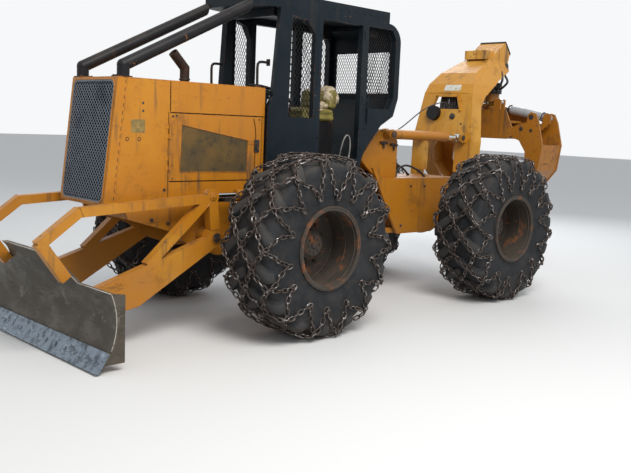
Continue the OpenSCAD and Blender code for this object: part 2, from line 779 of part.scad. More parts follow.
// The curved face plate, thicker all over by the given growth
module blade_face(grow) {
    low = blade_lift + 8;
    w = blade_half_w + grow;
    intersection() {
        translate([0, w, 0]) rotate([90, 0, 0]) linear_extrude(2 * w) union() {
            difference() {
                translate(blade_c) circle(r = blade_r + blade_t + grow, $fn = 96);
                translate(blade_c) circle(r = blade_r - grow, $fn = 96);
                translate([blade_c[0] - 290, -500]) square([2000, 3000]);
                translate([0, -1000]) square([4000, 1000 + 140]);
            }
            polygon([[2032, low], [2064 - 38, low], [1927, 150], [1952, 150]]);
        }
        plate_yz([[-w, 0], [w, 0], [w, blade_top + grow], [580, blade_top + grow], [300, blade_crown + grow],
                  [-300, blade_crown + grow], [-580, blade_top + grow], [-w, blade_top + grow]], 1500, 1000);
    }
}

module cutting_edge() {
    heel = [2032, blade_lift + 8];
    knee = [1952, 150];
    out = side_dir(knee, heel) * -0.3;
    slope = (heel[0] - knee[0]) / (knee[1] - heel[1]);
    low = heel + out + [(8 + out[1]) * slope, -8 - out[1]];
    color(steel) plate_xz([low, low + [26, 6], knee + [18, 8], knee + out], -blade_half_w, 2 * blade_half_w);
}

module push_frame() {
    y_in = arm_y - arm_w / 2;
    slot_w = 2 * rod_r(lift_barrel_r) + 6;
    color(paint) difference() {
        union() {
            both() translate([0, y_in + arm_w, 0]) rotate([90, 0, 0]) linear_extrude(arm_w) {
                // The deep lower beam
                polygon([[575, 870], [560, 780], [608, 760], [1385, 325], [1893, 236], [1893, 470],
                         [732, 832], [700, 900]]);
                // Tower, strut and upper bar with its two bends
                bar_outline([637, 830], [674, 1185], 96);
                bar_outline([1300, 640], [700, 1165], 74);
                bar_outline([690, 1165], [1915, 1098], 74);
                bar_outline([1890, 1108], [2222, 868], 74);
                bar_outline(bar_nose, bar_heel, bar_depth);
                translate(lift_pin) circle(r = 62);
                translate(arm_pivot) circle(r = 84);
            }
            // Cross tube behind the blade
            pin_y([1760, 400], 60, -y_in - 10, y_in + 10);
        }
        for (s = [-1, 1]) pin_y(arm_pivot, arm_pin_r + gap, s * arm_y - 100, s * arm_y + 100);
        // The slot that takes the lift cylinder's rod eye
        for (s = [-1, 1]) translate([lift_pin[0] - 200, s * arm_y - slot_w / 2, lift_pin[1] - 75]) {
            cube([285, slot_w, 200]);
        }
        // The frame's ends fit the blade's curve
        blade_face(gap);
    }
}

// A hydraulic barrel from its base pin towards its rod's pin, in the XZ plane
module barrel_xz(base, eye, y, r, length) {
    dir = (eye - base) / norm(eye - base);
    difference() {
        union() {
            rod_xz(base + dir * r * 0.5, base + dir * length, y, r);
            pin_y(base, r * 0.94, y - r * 0.8, y + r * 0.8);
        }
        pin_y(base, arm_pin_r + gap, y - 2 * r, y + 2 * r);
        rod_xz(base + dir * (r + 22), base + dir * (length + 10), y, rod_r(r) + gap);
    }
}

// A hydraulic rod that ends in an eye between its clevis plates
module cylinder_rod_xz(base, eye, y, r, inside, eye_w) {
    dir = (eye - base) / norm(eye - base);
    rod_xz(base + dir * inside, eye, y, rod_r(r));
    pin_y(eye, r * 0.95, y - eye_w / 2, y + eye_w / 2);
}

module lift_barrel(s) {
    color(paint) on_side(s) barrel_xz(lift_base, lift_pin, arm_y, lift_barrel_r, 520);
}

module lift_rod(s) {
    color(chrome) on_side(s) cylinder_rod_xz(lift_base, lift_pin, arm_y, lift_barrel_r, 330, 43);
}

// REAR FRAME
module rear_chassis() {
    ear = [[-1449, 1487], [-1490, 1540], [-1556, 1622], [-1640, 1712], [-1735, 1795], [-1800, 1808],
           [-1880, 1808], [-2020, 1690], [-2030, 1250], [-1700, 1250], [-1700, 1290], [-1560, 1392]];
    side = [[-1560, 1392], [-1700, 1290], [-1800, 1283], [-3260, 1270], [-3330, 1120], [-3330, 960],
            [-3180, 900], [-2600, 664], [-2010, 670], [-1870, 880], [-1720, 1130]];
    inner = rear_half_w - plate_t;
    cross_x = -2100;
    color(paint) difference() {
        union() {
            both() plate_xz(ear, ear_y - plate_t, plate_t);
            both() plate_xz(side, inner, plate_t);
            // Cross plates: the deck, the ears' rib, the front and the tail
            translate([-3100, -inner - 1, 1240]) cube([1400, 2 * inner + 2, 30]);
            translate([-2030, -ear_y + 1, 1250]) cube([30, 2 * ear_y - 2, 430]);
            translate([cross_x, -inner - 1, 674]) cube([40, 2 * inner + 2, 580]);
            translate([-3300, -inner - 1, 1000]) cube([40, 2 * inner + 2, 260]);
            // Tongues of the steering joint
            for (z = [640, 1120]) translate([0, 0, z + 34 + gap]) linear_extrude(58 - 2 * gap) {
                translate([pivot_x, 0]) circle(r = 100);
                polygon([[pivot_x, -100], [pivot_x, 100], [cross_x + 1, inner], [cross_x + 1, -inner]]);
            }
            // Pins of the steering joint
            for (z = [640, 1120]) translate([pivot_x, 0, z - 10]) {
                cylinder(r = pivot_pin_r - gap, h = 146);
            }
            both() steer_lugs([pivot_x - steer_rear[0], steer_rear[1]], cross_x + 39, false);
            // Pins that carry the arch and its cylinders
            both() pin_y(arch_pivot, 48, rear_half_w - 5, arch_half_w + 20);
            both() pin_y(arch_base, arm_pin_r, ear_y - 5, arch_cyl_y + arch_barrel_r + 12);
        }
        rotate([90, 0, 0]) translate([-wheelbase, axle_z, -500]) cylinder(r = axle_r + gap, h = 1000);
    }
}

module rear_axle() {
    color(paint) axle_housing(-wheelbase);
}

// ARCH
// The arch's front face in X and Z, from the legs up to the tip of the head
arch_front = [[-3130, 1700], [-3215, 2262], [-3262, 2370], [-3400, 2510], [-3754, 2690], [-3860, 2760],
              [-4080, 2925]];
// Half width of the arch at rising heights
arch_taper = [[arch_half_w, 1700], [352, 2262], [325, 2370], [262, 2510], [head_half_w, 2690],
              [head_half_w, 2960]];

// The direction from a corner of a line of points to its inner side
function side_dir(p, q) = [q[1] - p[1], p[0] - q[0]] / norm(q - p);
function corner_dir(p, i) = let (n = len(p) - 1, a = side_dir(p[max(i - 1, 0)], p[max(i, 1)]),
    b = side_dir(p[min(i, n - 1)], p[min(i + 1, n)])) (a + b) / (1 + a * b);
// A line of points made into a strip of the given thickness
function strip(p, t) = concat(p, [for (i = [len(p) - 1 : -1 : 0]) p[i] - corner_dir(p, i) * t]);

module arch() {
    w = arch_half_w;
    color(paint) difference() {
        union() {
            // Bent front and top plate, tapered towards the head
            intersection() {
                plate_xz(strip(arch_front, plate_t), -w, 2 * w);
                plate_yz(concat(arch_taper, [for (i = [len(arch_taper) - 1 : -1 : 0])
                    [-arch_taper[i][0], arch_taper[i][1]]]), -4300, 1400);
            }
            both() arch_cheek();
            both() leg();
            // Raised box on the crest
            translate([-3900, -150, 2700]) cube([190, 300, 105]);
        }
        both() pin_y(arch_pivot, 48 + gap, 340, w + 60);
        both() pin_y(hang_pin, 30, 0, 300);
        // The opening in the front face
        plate_yz([[-200, 2070], [200, 2070], [150, 2215], [-150, 2215]], -3300, 200);
    }
}

// A side plate of the arch from its leg up to the head, following the taper
module arch_cheek() {
    t = 24;
    intersection() {
        plate_xz(concat(arch_front, [[-4195, 2790], [-4130, 2575], [-3830, 2440], [-3660, 2340], [-3480, 2230],
                 [-3380, 2100], [-3340, 1750], [-3340, 1700]]), 0, 500);
        plate_yz(concat(arch_taper, [for (i = [len(arch_taper) - 1 : -1 : 0])
            [arch_taper[i][0] - t, arch_taper[i][1]]]), -4300, 1400);
    }
}

// A leg: a channel open to the rear that carries the pivot and the cylinder's clevis
module leg() {
    w = arch_half_w;
    difference() {
        plate_xz([[-3130, 1701], [-3120, 1200], [-3100, 1050], [-3180, 970], [-3260, 1050], [-3300, 1300],
                  [-3340, 1701]], w - 70, 70);
        translate([-3500, w - 46, 1150]) cube([340, 22, 600]);
    }
    plate_xz([[-3130, 1720], [-3125, 1330], [-3155, 1330], [-3160, 1720]], 205, w - 205);
    for (y = [arch_cyl_y - 58, arch_cyl_y + 34]) {
        plate_xz([[-3020, 1700], [-3020, 1776], [-3060, 1800], [-3150, 1800], [-3150, 1690], [-3060, 1676]],
                 y, 24);
    }
    // Heads of the cylinder's pin
    pin_y(arch_eye, 26, arch_cyl_y + 57, arch_cyl_y + 68);
}

module arch_boss() {
    at_z = 2015;
    foot = arch_front[0];
    rise = arch_front[1] - foot;
    lean = atan2(rise[1], -rise[0]);
    translate([foot[0] + rise[0] * (at_z - foot[1]) / rise[1], -150, at_z]) {
        color(black) rotate([0, lean, 0]) translate([0, 0, gap]) cylinder(r = 88, h = 60);
    }
}

module arch_barrel(s) {
    color(paint) on_side(s) barrel_xz(arch_base, arch_eye, arch_cyl_y, arch_barrel_r, 985);
}

module arch_rod(s) {
    color(chrome) on_side(s) cylinder_rod_xz(arch_base, arch_eye, arch_cyl_y, arch_barrel_r, 350, 66);
}

// STEERING CYLINDERS
steer_span = steer_front + steer_rear;
steer_len = norm([steer_span[0], steer_front[1] - steer_rear[1]]);
steer_turn = atan2(steer_front[1] - steer_rear[1], steer_span[0]);

// Places its children at a steering cylinder's front pin, along the line to its rear pin
module steer_line(s) {
    on_side(s) translate([pivot_x + steer_front[0], steer_front[1], steer_z]) rotate([0, 0, steer_turn]) {
        rotate([0, -90, 0]) children();
    }
}

module steer_barrel(s) {
    eye_w = 2 * (34 - gap);
    color(black) steer_line(s) difference() {
        union() {
            translate([0, 0, 58]) cylinder(r = steer_barrel_r, h = 396);
            cylinder(r = 30, h = 60);
            rotate([0, 90, 0]) cylinder(r = 36, h = eye_w, center = true);
        }
        rotate([0, 90, 0]) cylinder(r = steer_pin_r + gap, h = 200, center = true);
        translate([0, 0, 84]) cylinder(r = rod_r(steer_barrel_r) + gap, h = 600);
    }
}

module steer_rod(s) {
    inside = 260;
    color(chrome) steer_line(s) {
        translate([0, 0, inside]) cylinder(r = rod_r(steer_barrel_r), h = steer_len - inside - 30);
        translate([0, 0, steer_len]) rotate([0, 90, 0]) difference() {
            cylinder(r = 36, h = 60, center = true);
            cylinder(r = 28, h = 100, center = true);
        }
    }
}
// GRAPPLE
grapple_x = hang_pin[0];

module grapple_hanger() {
    color(black) translate([grapple_x, 0, 0]) {
        translate([-45, -60, 2430]) cube([90, 120, 260]);
        translate([0, 0, 2300]) cylinder(r = 130, h = 135);
        pin_y([0, hang_pin[1]], 30 - gap, -head_half_w - 10, head_half_w + 10);
    }
}

plate_d = 24;
deck_z = 1940;

module grapple_head() {
    top = grapple_top;
    w = grapple_half_w;
    p = tong_pivot;
    color(paint) translate([grapple_x, 0, 0]) {
        translate([0, 0, deck_z]) cylinder(r = 104, h = 2300 - deck_z - gap);
        for (x = [-grapple_half_d, grapple_half_d - plate_d]) {
            plate_yz([[-w, top], [w, top], [p[0] + 75, p[1] + 60], [p[0] + 75, p[1] - 40], [p[0], p[1] - 78],
                      [-p[0], p[1] - 78], [-p[0] - 75, p[1] - 40], [-p[0] - 75, p[1] + 60]], x, plate_d);
        }
        translate([-grapple_half_d + 1, -340, deck_z]) cube([2 * grapple_half_d - 2, 680, 30]);
        for (s = [-1, 1]) {
            // Pins that carry the tongs
            translate([-grapple_half_d + 1, s * p[0], p[1]]) rotate([0, 90, 0]) {
                cylinder(r = tong_pin_r, h = 2 * grapple_half_d - 2);
            }
            // Lugs for the rod eye of the other side's cylinder
            for (x = [s * tong_cyl_x - 32 - plate_d, s * tong_cyl_x + 32]) {
                plate_yz([[s * 190, deck_z + 20], [s * 300, deck_z + 20], [s * 300, 2220], [s * 215, 2235],
                          [s * 205, 2200]], x, plate_d);
            }
        }
    }
}

// A tong: two curved plates joined by a tube and skins
tong_pin_r = 40;
horn_pin_r = 24;
tong_in = grapple_half_d - 2 * plate_d - 5;

module tong(s) {
    p = tong_pivot;
    horn_in = -s * tong_cyl_x + s * 32 - (s > 0 ? 0 : plate_d);
    outline = [[370, 1850], [p[0], 1895], [520, 1900], [600, 1935], [690, 1950], [700, 2045], [745, 2075],
               [800, 2060], [850, 1960], [920, 1690], [880, 1380], [660, 1100], [340, 950], [30, 930],
               [30, 962], [325, 1090], [570, 1255], [700, 1440], [690, 1600], [600, 1730], [500, 1760],
               [p[0], 1745], [370, 1780]];
    color(paint) on_side(s) translate([grapple_x, 0, 0]) difference() {
        union() {
            for (x = [-tong_in - plate_d, tong_in]) plate_yz(outline, x, plate_d);
            // The inner horn plate on its cylinder's other side
            plate_yz([[380, 1850], [470, 1860], [690, 1950], [700, 2045], [745, 2075], [800, 2060],
                      [800, 1950], [600, 1790], [400, 1780]], horn_in, plate_d);
            // Pin of the tong's cylinder
            translate([s > 0 ? -tong_in - 1 : horn_in + plate_d - 1, tong_horn[0], tong_horn[1]]) {
                rotate([0, 90, 0]) cylinder(r = horn_pin_r, h = tong_in - tong_cyl_x + 34);
            }
            // Pivot tube, the skin along the back and the tip
            translate([-tong_in - 1, p[0], p[1]]) rotate([0, 90, 0]) cylinder(r = 62, h = 2 * tong_in + 2);
            plate_yz([[912, 1690], [872, 1384], [655, 1104], [642, 1130], [848, 1396], [886, 1690]],
                     -tong_in - 1, 2 * tong_in + 2);
            plate_yz([[40, 932], [340, 952], [336, 978], [40, 958]], -tong_in - 1, 2 * tong_in + 2);
        }
        translate([-300, p[0], p[1]]) rotate([0, 90, 0]) cylinder(r = tong_pin_r + gap, h = 600);
    }
}

// Places its children at a tong cylinder's pin, along the line to its rod's eye
module tong_line(s) {
    lie = atan2(tong_horn[0] - tong_anchor[0], tong_anchor[1] - tong_horn[1]);
    on_side(s) translate([grapple_x - s * tong_cyl_x, tong_horn[0], tong_horn[1]]) rotate([lie, 0, 0]) {
        children();
    }
}

tong_len = norm(tong_anchor - tong_horn);

module tong_barrel(s) {
    color(barrel_silver) tong_line(s) difference() {
        union() {
            translate([0, 0, 78]) cylinder(r = tong_barrel_r, h = 462);
            translate([0, 0, 30]) cylinder(r = 26, h = 80);
            rotate([0, 90, 0]) cylinder(r = 40, h = 56, center = true);
        }
        rotate([0, 90, 0]) cylinder(r = horn_pin_r + gap, h = 200, center = true);
        translate([0, 0, 110]) cylinder(r = rod_r(tong_barrel_r) + gap, h = 600);
    }
}

module tong_rod(s) {
    eye_r = 40;
    color(chrome) tong_line(s) {
        translate([0, 0, 430]) cylinder(r = rod_r(tong_barrel_r), h = tong_len - 430);
        translate([0, 0, tong_len]) rotate([0, 90, 0]) cylinder(r = eye_r, h = 50, center = true);
    }
}

// Moves a node from the axle's ground point to the middle of the footprint
module at_middle() {
    translate([-x_mid, 0, 0]) children();
}

at_middle() front_chassis();
at_middle() front_axle();
at_middle() engine_block();
at_middle() hood();
at_middle() grille();
at_middle() cab_floor();
at_middle() cab_side(1);  // cab_side_left
at_middle() cab_side(-1);  // cab_side_right
at_middle() cab_front();
at_middle() cab_rear();
at_middle() cab_roof();
at_middle() window_guards();
at_middle() seat_cushion();
at_middle() seat_back();
at_middle() seat_base();
at_middle() controls();
at_middle() limb_risers();
at_middle() exhaust();
at_middle() work_lamps();
at_middle() engine_door(1);  // engine_door_left
at_middle() engine_door(-1);  // engine_door_right
at_middle() tyre_at(0, 1);  // tyre_front_left
at_middle() tyre_at(0, -1);  // tyre_front_right
at_middle() tyre_at(-wheelbase, 1);  // tyre_rear_left
at_middle() tyre_at(-wheelbase, -1);  // tyre_rear_right
at_middle() chain_at(0, 1);  // chain_front_left
at_middle() chain_at(0, -1);  // chain_front_right
at_middle() chain_at(-wheelbase, 1);  // chain_rear_left
at_middle() chain_at(-wheelbase, -1);  // chain_rear_right
at_middle() rim_at(0, 1);  // rim_front_left
at_middle() rim_at(0, -1);  // rim_front_right
at_middle() rim_at(-wheelbase, 1);  // rim_rear_left
at_middle() rim_at(-wheelbase, -1);  // rim_rear_right
at_middle() blade();
at_middle() cutting_edge();
at_middle() push_frame();
at_middle() lift_barrel(1);  // lift_barrel_left
at_middle() lift_barrel(-1);  // lift_barrel_right
at_middle() lift_rod(1);  // lift_rod_left
at_middle() lift_rod(-1);  // lift_rod_right
at_middle() rear_chassis();
at_middle() rear_axle();
at_middle() arch();
at_middle() arch_boss();
at_middle() arch_barrel(1);  // arch_barrel_left
at_middle() arch_barrel(-1);  // arch_barrel_right
at_middle() arch_rod(1);  // arch_rod_left
at_middle() arch_rod(-1);  // arch_rod_right
at_middle() steer_barrel(1);  // steer_barrel_left
at_middle() steer_barrel(-1);  // steer_barrel_right
at_middle() steer_rod(1);  // steer_rod_left
at_middle() steer_rod(-1);  // steer_rod_right
at_middle() grapple_hanger();
at_middle() grapple_head();
at_middle() tong(1);  // tong_left
at_middle() tong(-1);  // tong_right
at_middle() tong_barrel(1);  // tong_barrel_left
at_middle() tong_barrel(-1);  // tong_barrel_right
at_middle() tong_rod(1);  // tong_rod_left
at_middle() tong_rod(-1);  // tong_rod_right
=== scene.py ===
# %% [markdown]
# A log skidder is a tractor that bends in the middle. It drags felled trees with the
# grapple that hangs from the arch at its rear, and it has a small blade in front.
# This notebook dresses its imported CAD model: every solid already stands in its place, so
# the lesson is about finishes (old paint, dusty rubber, worn steel) and about the
# pieces that only a mesh can give, such as tyre chains, wire guards and a torn seat.

# %% Load the frame
import math
import random

import bmesh
import bpy
from mathutils import Matrix, Vector, noise


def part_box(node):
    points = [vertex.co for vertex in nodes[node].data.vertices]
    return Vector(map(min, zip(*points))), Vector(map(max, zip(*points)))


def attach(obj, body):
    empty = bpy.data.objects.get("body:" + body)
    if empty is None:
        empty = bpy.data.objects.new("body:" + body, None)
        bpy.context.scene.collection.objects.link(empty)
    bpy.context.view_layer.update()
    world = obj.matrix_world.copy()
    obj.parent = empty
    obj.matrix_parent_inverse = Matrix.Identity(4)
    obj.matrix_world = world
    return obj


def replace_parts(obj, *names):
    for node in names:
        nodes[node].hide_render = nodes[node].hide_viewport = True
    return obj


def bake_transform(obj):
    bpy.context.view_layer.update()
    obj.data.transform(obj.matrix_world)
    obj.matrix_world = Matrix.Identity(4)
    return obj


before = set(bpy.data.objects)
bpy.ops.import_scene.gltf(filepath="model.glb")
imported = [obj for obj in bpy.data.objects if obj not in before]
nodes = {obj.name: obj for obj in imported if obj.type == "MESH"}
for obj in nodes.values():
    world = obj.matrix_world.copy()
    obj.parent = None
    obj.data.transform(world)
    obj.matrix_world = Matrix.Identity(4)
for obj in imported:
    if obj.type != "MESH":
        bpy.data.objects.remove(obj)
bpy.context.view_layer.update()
scene = bpy.context.scene

# %% [markdown]
# The CAD frame has its origin in the middle of the footprint. Most sizes of this machine
# are easier to read from the front axle, so a helper turns a place that is measured from
# the ground under the front axle into the frame. The front axle's own place comes from
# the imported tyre. The machine is the same on both sides, so a second helper gives the
# places of one side, whose hand is 1 on the left and -1 on the right.

# %% Places measured from the front axle
tyre_low, tyre_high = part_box("tyre_front_left")
rear_low, rear_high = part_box("tyre_rear_left")
axle_x, wheel_y, wheel_z = [(low + high) / 2 for low, high in zip(tyre_low, tyre_high)]
rear_axle_x = (rear_low.x + rear_high.x) / 2
hands = {"left": 1, "right": -1}


def at(x, y, z):
    """A place in the frame from one measured from the ground under the front axle."""
    return Vector((x + axle_x, y, z))


def on_side(hand, places):
    """Places on one side; each is (ahead, outwards, up)."""
    return [at(x, hand * y, z) for x, y, z in places]


print("front axle at x =", round(axle_x, 3), "wheel centre height =", round(wheel_z, 3))

# %% [markdown]
# The camera stands where the photographer stood: ahead of the machine, on its left,
# at a little under roof height. Its height, heading and lens were worked out from the
# wheels and the hood's long edges. A camera matrix is built from the three directions
# that it sees: right, up and back.

# %% Camera
photo_width_px, focal_px, sensor_mm = 631, 822.5, 36
yaw, pitch, roll = -2.347855, 0.135869, 0.042150
ahead = Vector((math.cos(yaw) * math.cos(pitch), math.sin(yaw) * math.cos(pitch), -math.sin(pitch)))
right = Vector((math.sin(yaw), -math.cos(yaw), 0))
up = right.cross(ahead)
right, up = math.cos(roll) * right + math.sin(roll) * up, math.cos(roll) * up - math.sin(roll) * right
camera_data = bpy.data.cameras.new("camera")
camera_data.sensor_width = sensor_mm
camera_data.lens = sensor_mm * focal_px / photo_width_px
camera = bpy.data.objects.new("camera", camera_data)
scene.collection.objects.link(camera)
camera.matrix_world = (Matrix.Translation(at(4.9028, 6.0878, 1.8255))
                       @ Matrix((right, up, -ahead)).transposed().to_4x4())
scene.camera = camera
print("lens:", round(camera_data.lens, 1), "mm")

# %% [markdown]
# Light and materials are both made of nodes that are wired together. One helper adds any
# node and fills its inputs, each with a number, a colour or another node's output. The
# few others name what the finishes need most: sums, soft ramps and noise. All noise reads
# the object's own coordinates, so the marks stay on the steel when a joint moves.

# %% Helpers for nodes
def wire(tree, kind, inputs, **settings):
    """A new shader node with its settings and inputs."""
    node = tree.nodes.new("ShaderNode" + kind)
    for name, value in settings.items():
        setattr(node, name, value)
    for socket, value in inputs.items():
        if isinstance(value, bpy.types.NodeSocket):
            tree.links.new(value, node.inputs[socket])
        else:
            node.inputs[socket].default_value = value
    return node


def calculate(tree, operation, a, b, clamp=False):
    return wire(tree, "Math", {0: a, 1: b}, operation=operation, use_clamp=clamp).outputs[0]


def plus(tree, a, b):
    return calculate(tree, "ADD", a, b)


def minus(tree, a, b):
    return calculate(tree, "SUBTRACT", a, b)


def times(tree, a, b, clamp=False):
    return calculate(tree, "MULTIPLY", a, b, clamp)


def ramp(tree, value, low, high):
    """0 below low and 1 above high, smooth between."""
    return wire(tree, "MapRange", {0: value, 1: low, 2: high}, interpolation_type="SMOOTHSTEP").outputs[0]


def speckle(tree, scale, detail=4.0, rough=0.55, stretch=None):
    """Noise over the object's own coordinates, stretched along the axes if asked."""
    place = wire(tree, "TexCoord", {}).outputs["Object"]
    if stretch:
        place = wire(tree, "Mapping", {"Vector": place, "Scale": stretch}).outputs["Vector"]
    return wire(tree, "TexNoise", {"Vector": place, "Scale": scale, "Detail": detail,
                                   "Roughness": rough}).outputs["Fac"]


print("node helpers are ready")

# %% [markdown]
# The light is plain: a pale world that fills every shadow, one very large soft lamp for
# form, and a weaker one from the other side. The view transform is Standard, so a colour
# that is written in a material comes out about as it is written. The background that the
# camera and the gloss see is paler than the light that the world gives.

# %% Light
scene.view_settings.view_transform = "Standard"
for name, place, aim, size, watts, colour in (
        ("key", (3.0, 6.5, 8.5), (0, 0, 0.8), 5.0, 900, (1.0, 0.98, 0.95)),
        ("fill", (-7.5, -4.0, 6.0), (0, 0, 1.0), 6.0, 380, (0.93, 0.96, 1.0))):
    lamp_data = bpy.data.lights.new(name, "AREA")
    lamp_data.size, lamp_data.energy, lamp_data.color = size, watts, colour
    lamp = bpy.data.objects.new(name, lamp_data)
    scene.collection.objects.link(lamp)
    lamp.location = place
    lamp.rotation_euler = (Vector(aim) - Vector(place)).to_track_quat("-Z", "Y").to_euler()

world = bpy.data.worlds.new("pale_world")
world.use_nodes = True
scene.world = world
sky = world.node_tree
light_sky = sky.nodes["Background"]
light_sky.inputs["Color"].default_value = (0.86, 0.9, 0.95, 1)
light_sky.inputs["Strength"].default_value = 0.62
seen_sky = wire(sky, "Background", {"Color": (0.93, 0.94, 0.95, 1), "Strength": 1.0})
rays = wire(sky, "LightPath", {}).outputs
seen = calculate(sky, "MAXIMUM", rays["Is Camera Ray"], rays["Is Glossy Ray"])
both_skies = wire(sky, "MixShader", {0: seen, 1: light_sky.outputs[0], 2: seen_sky.outputs[0]})
sky.links.new(both_skies.outputs[0], sky.nodes["World Output"].inputs["Surface"])

# %% [markdown]
# Several finishes on this machine share the same kinds of ageing: patches of fading,
# chips down to rust, dust that lies on upward faces, streaks that run down, and rubbed
# edges. Each kind is a node group with named inputs and one or two masks as its outputs.
# A material then uses the mask with its own colours.

# %% Shared effects
def new_group(name, inputs, outputs=("Mask",)):
    group = bpy.data.node_groups.new(name, "ShaderNodeTree")
    for label, value in inputs.items():
        socket = group.interface.new_socket(name=label, in_out="INPUT", socket_type="NodeSocketFloat")
        socket.default_value = value
    for label in outputs:
        group.interface.new_socket(name=label, in_out="OUTPUT", socket_type="NodeSocketFloat")
    return group, group.nodes.new("NodeGroupInput").outputs, group.nodes.new("NodeGroupOutput").inputs


patches, given, result = new_group("patches", {"Scale": 2.0, "Amount": 0.5, "Softness": 0.15})
start = minus(patches, 1.0, given["Amount"])
end = plus(patches, start, given["Softness"])
patches.links.new(ramp(patches, speckle(patches, given["Scale"], 5.0, 0.6), start, end), result["Mask"])

chips, given, result = new_group("chips", {"Scale": 30.0, "Amount": 0.35, "Edges": 1.0}, ("Mask", "Rim"))
crumbs, broad = speckle(chips, given["Scale"], 6.0, 0.65), speckle(chips, 3.1, 3.0, 0.5)
facing = wire(chips, "NewGeometry", {}).outputs["Normal"]
rounded = wire(chips, "Bevel", {"Radius": 0.012}, samples=4).outputs["Normal"]
turning = wire(chips, "VectorMath", {0: facing, 1: rounded}, operation="DOT_PRODUCT").outputs["Value"]
sharp = times(chips, ramp(chips, minus(chips, 1.0, turning), 0.02, 0.25), given["Edges"])
crumbled = plus(chips, times(chips, crumbs, 0.62), times(chips, broad, 0.38))
crumbled = plus(chips, crumbled, times(chips, sharp, 0.13))
mark = minus(chips, 0.73, times(chips, given["Amount"], 0.2))
chips.links.new(ramp(chips, crumbled, mark, plus(chips, mark, 0.02)), result["Mask"])
chips.links.new(ramp(chips, crumbled, minus(chips, mark, 0.035), mark), result["Rim"])

dust, given, result = new_group("dust", {"Amount": 0.5, "Scale": 6.0, "Low height": 0.9})
facing = wire(dust, "SeparateXYZ", {0: wire(dust, "NewGeometry", {}).outputs["Normal"]}).outputs["Z"]
height = wire(dust, "SeparateXYZ", {0: wire(dust, "TexCoord", {}).outputs["Object"]}).outputs["Z"]
low_down = times(dust, ramp(dust, height, given["Low height"], 0.0), 0.75)
lying = calculate(dust, "MAXIMUM", ramp(dust, facing, 0.1, 1.0), low_down)
uneven = ramp(dust, speckle(dust, given["Scale"], 6.0, 0.65), 0.3, 0.75)
spread = times(dust, plus(dust, times(dust, lying, 0.8), 0.2), uneven)
dust.links.new(times(dust, spread, given["Amount"], clamp=True), result["Mask"])

streaks, given, result = new_group("streaks", {"Amount": 0.5, "Scale": 9.0})
runs = ramp(streaks, speckle(streaks, given["Scale"], 4.0, 0.6, (1.0, 1.0, 0.09)), 0.52, 0.72)
areas = ramp(streaks, speckle(streaks, 1.7, 2.0, 0.5), 0.4, 0.6)
streaks.links.new(times(streaks, times(streaks, runs, areas), given["Amount"]), result["Mask"])
print("shared effects:", [g.name for g in bpy.data.node_groups])

# %% [markdown]
# A small class keeps a material short to write. It starts from a Principled BSDF with
# its plain values set on the sockets themselves, then lays colours over each other by
# masks, from the paint outward to the dust, as the real surface was built up. A layer is
# a mask and a look: a colour, a roughness, a metalness and an amount.

# %% Material builder
class Finish:
    def __init__(self, name, colour, rough=0.5, metal=0.0, **plain):
        self.material = bpy.data.materials.new(name)
        self.material.use_nodes = True
        self.material.diffuse_color = (*colour, 1)
        self.tree = self.material.node_tree
        self.shader = self.tree.nodes["Principled BSDF"]
        plain.update(Base_Color=(*colour, 1), Roughness=rough, Metallic=metal)
        for socket, value in plain.items():
            self.shader.inputs[socket.replace("_", " ")].default_value = value

    def effect(self, group, output="Mask", **values):
        node = wire(self.tree, "Group", {}, node_tree=group)
        for label, value in values.items():
            node.inputs[label.replace("_", " ")].default_value = value
        return node.outputs[output]

    def noise(self, scale, detail=4.0, rough=0.55, stretch=None, low=0.0, high=1.0):
        return ramp(self.tree, speckle(self.tree, scale, detail, rough, stretch), low, high)

    def over(self, mask, colour=None, rough=None, metal=None, amount=1.0):
        """Lays a colour, a roughness or a metalness over what is there, where mask is 1."""
        if amount != 1.0:
            mask = times(self.tree, mask, amount)
        for kind, below, above, out, socket, value in (
                ("RGBA", 6, 7, 2, "Base Color", colour and (*colour, 1)),
                ("FLOAT", 2, 3, 0, "Roughness", rough), ("FLOAT", 2, 3, 0, "Metallic", metal)):
            if value is not None:
                target = self.shader.inputs[socket]
                plain = target.default_value if kind == "FLOAT" else tuple(target.default_value)
                there = target.links[0].from_socket if target.is_linked else plain
                mix = wire(self.tree, "Mix", {0: mask, below: there, above: value}, data_type=kind)
                self.tree.links.new(mix.outputs[out], target)
        return self

    def bump(self, height, depth=0.002, strength=0.5):
        node = wire(self.tree, "Bump", {"Distance": depth, "Strength": strength, "Height": height})
        target = self.shader.inputs["Normal"]
        if target.is_linked:
            self.tree.links.new(target.links[0].from_socket, node.inputs["Normal"])
        self.tree.links.new(node.outputs["Normal"], target)
        return self

    def faded(self, scale, share, softness, *look, **more):
        return self.over(self.effect(patches, Scale=scale, Amount=share, Softness=softness), *look, **more)

    def dusted(self, cover, scale, height, *look, **more):
        return self.over(self.effect(dust, Amount=cover, Scale=scale, Low_height=height), *look, **more)

    def chipped(self, output, scale, wear, edges, *look, **more):
        return self.over(self.effect(chips, output, Scale=scale, Amount=wear, Edges=edges), *look, **more)

    def stained(self, pattern, *look, **more):
        """A layer where noise lies between two limits; the pattern is what noise() takes."""
        return self.over(self.noise(*pattern), *look, **more)

    def grained(self, pattern, depth, strength):
        return self.bump(self.noise(*pattern), depth, strength)


dust_colour = (0.21, 0.16, 0.11)
rust_colour = (0.17, 0.062, 0.024)
print("dust", dust_colour, "rust", rust_colour)
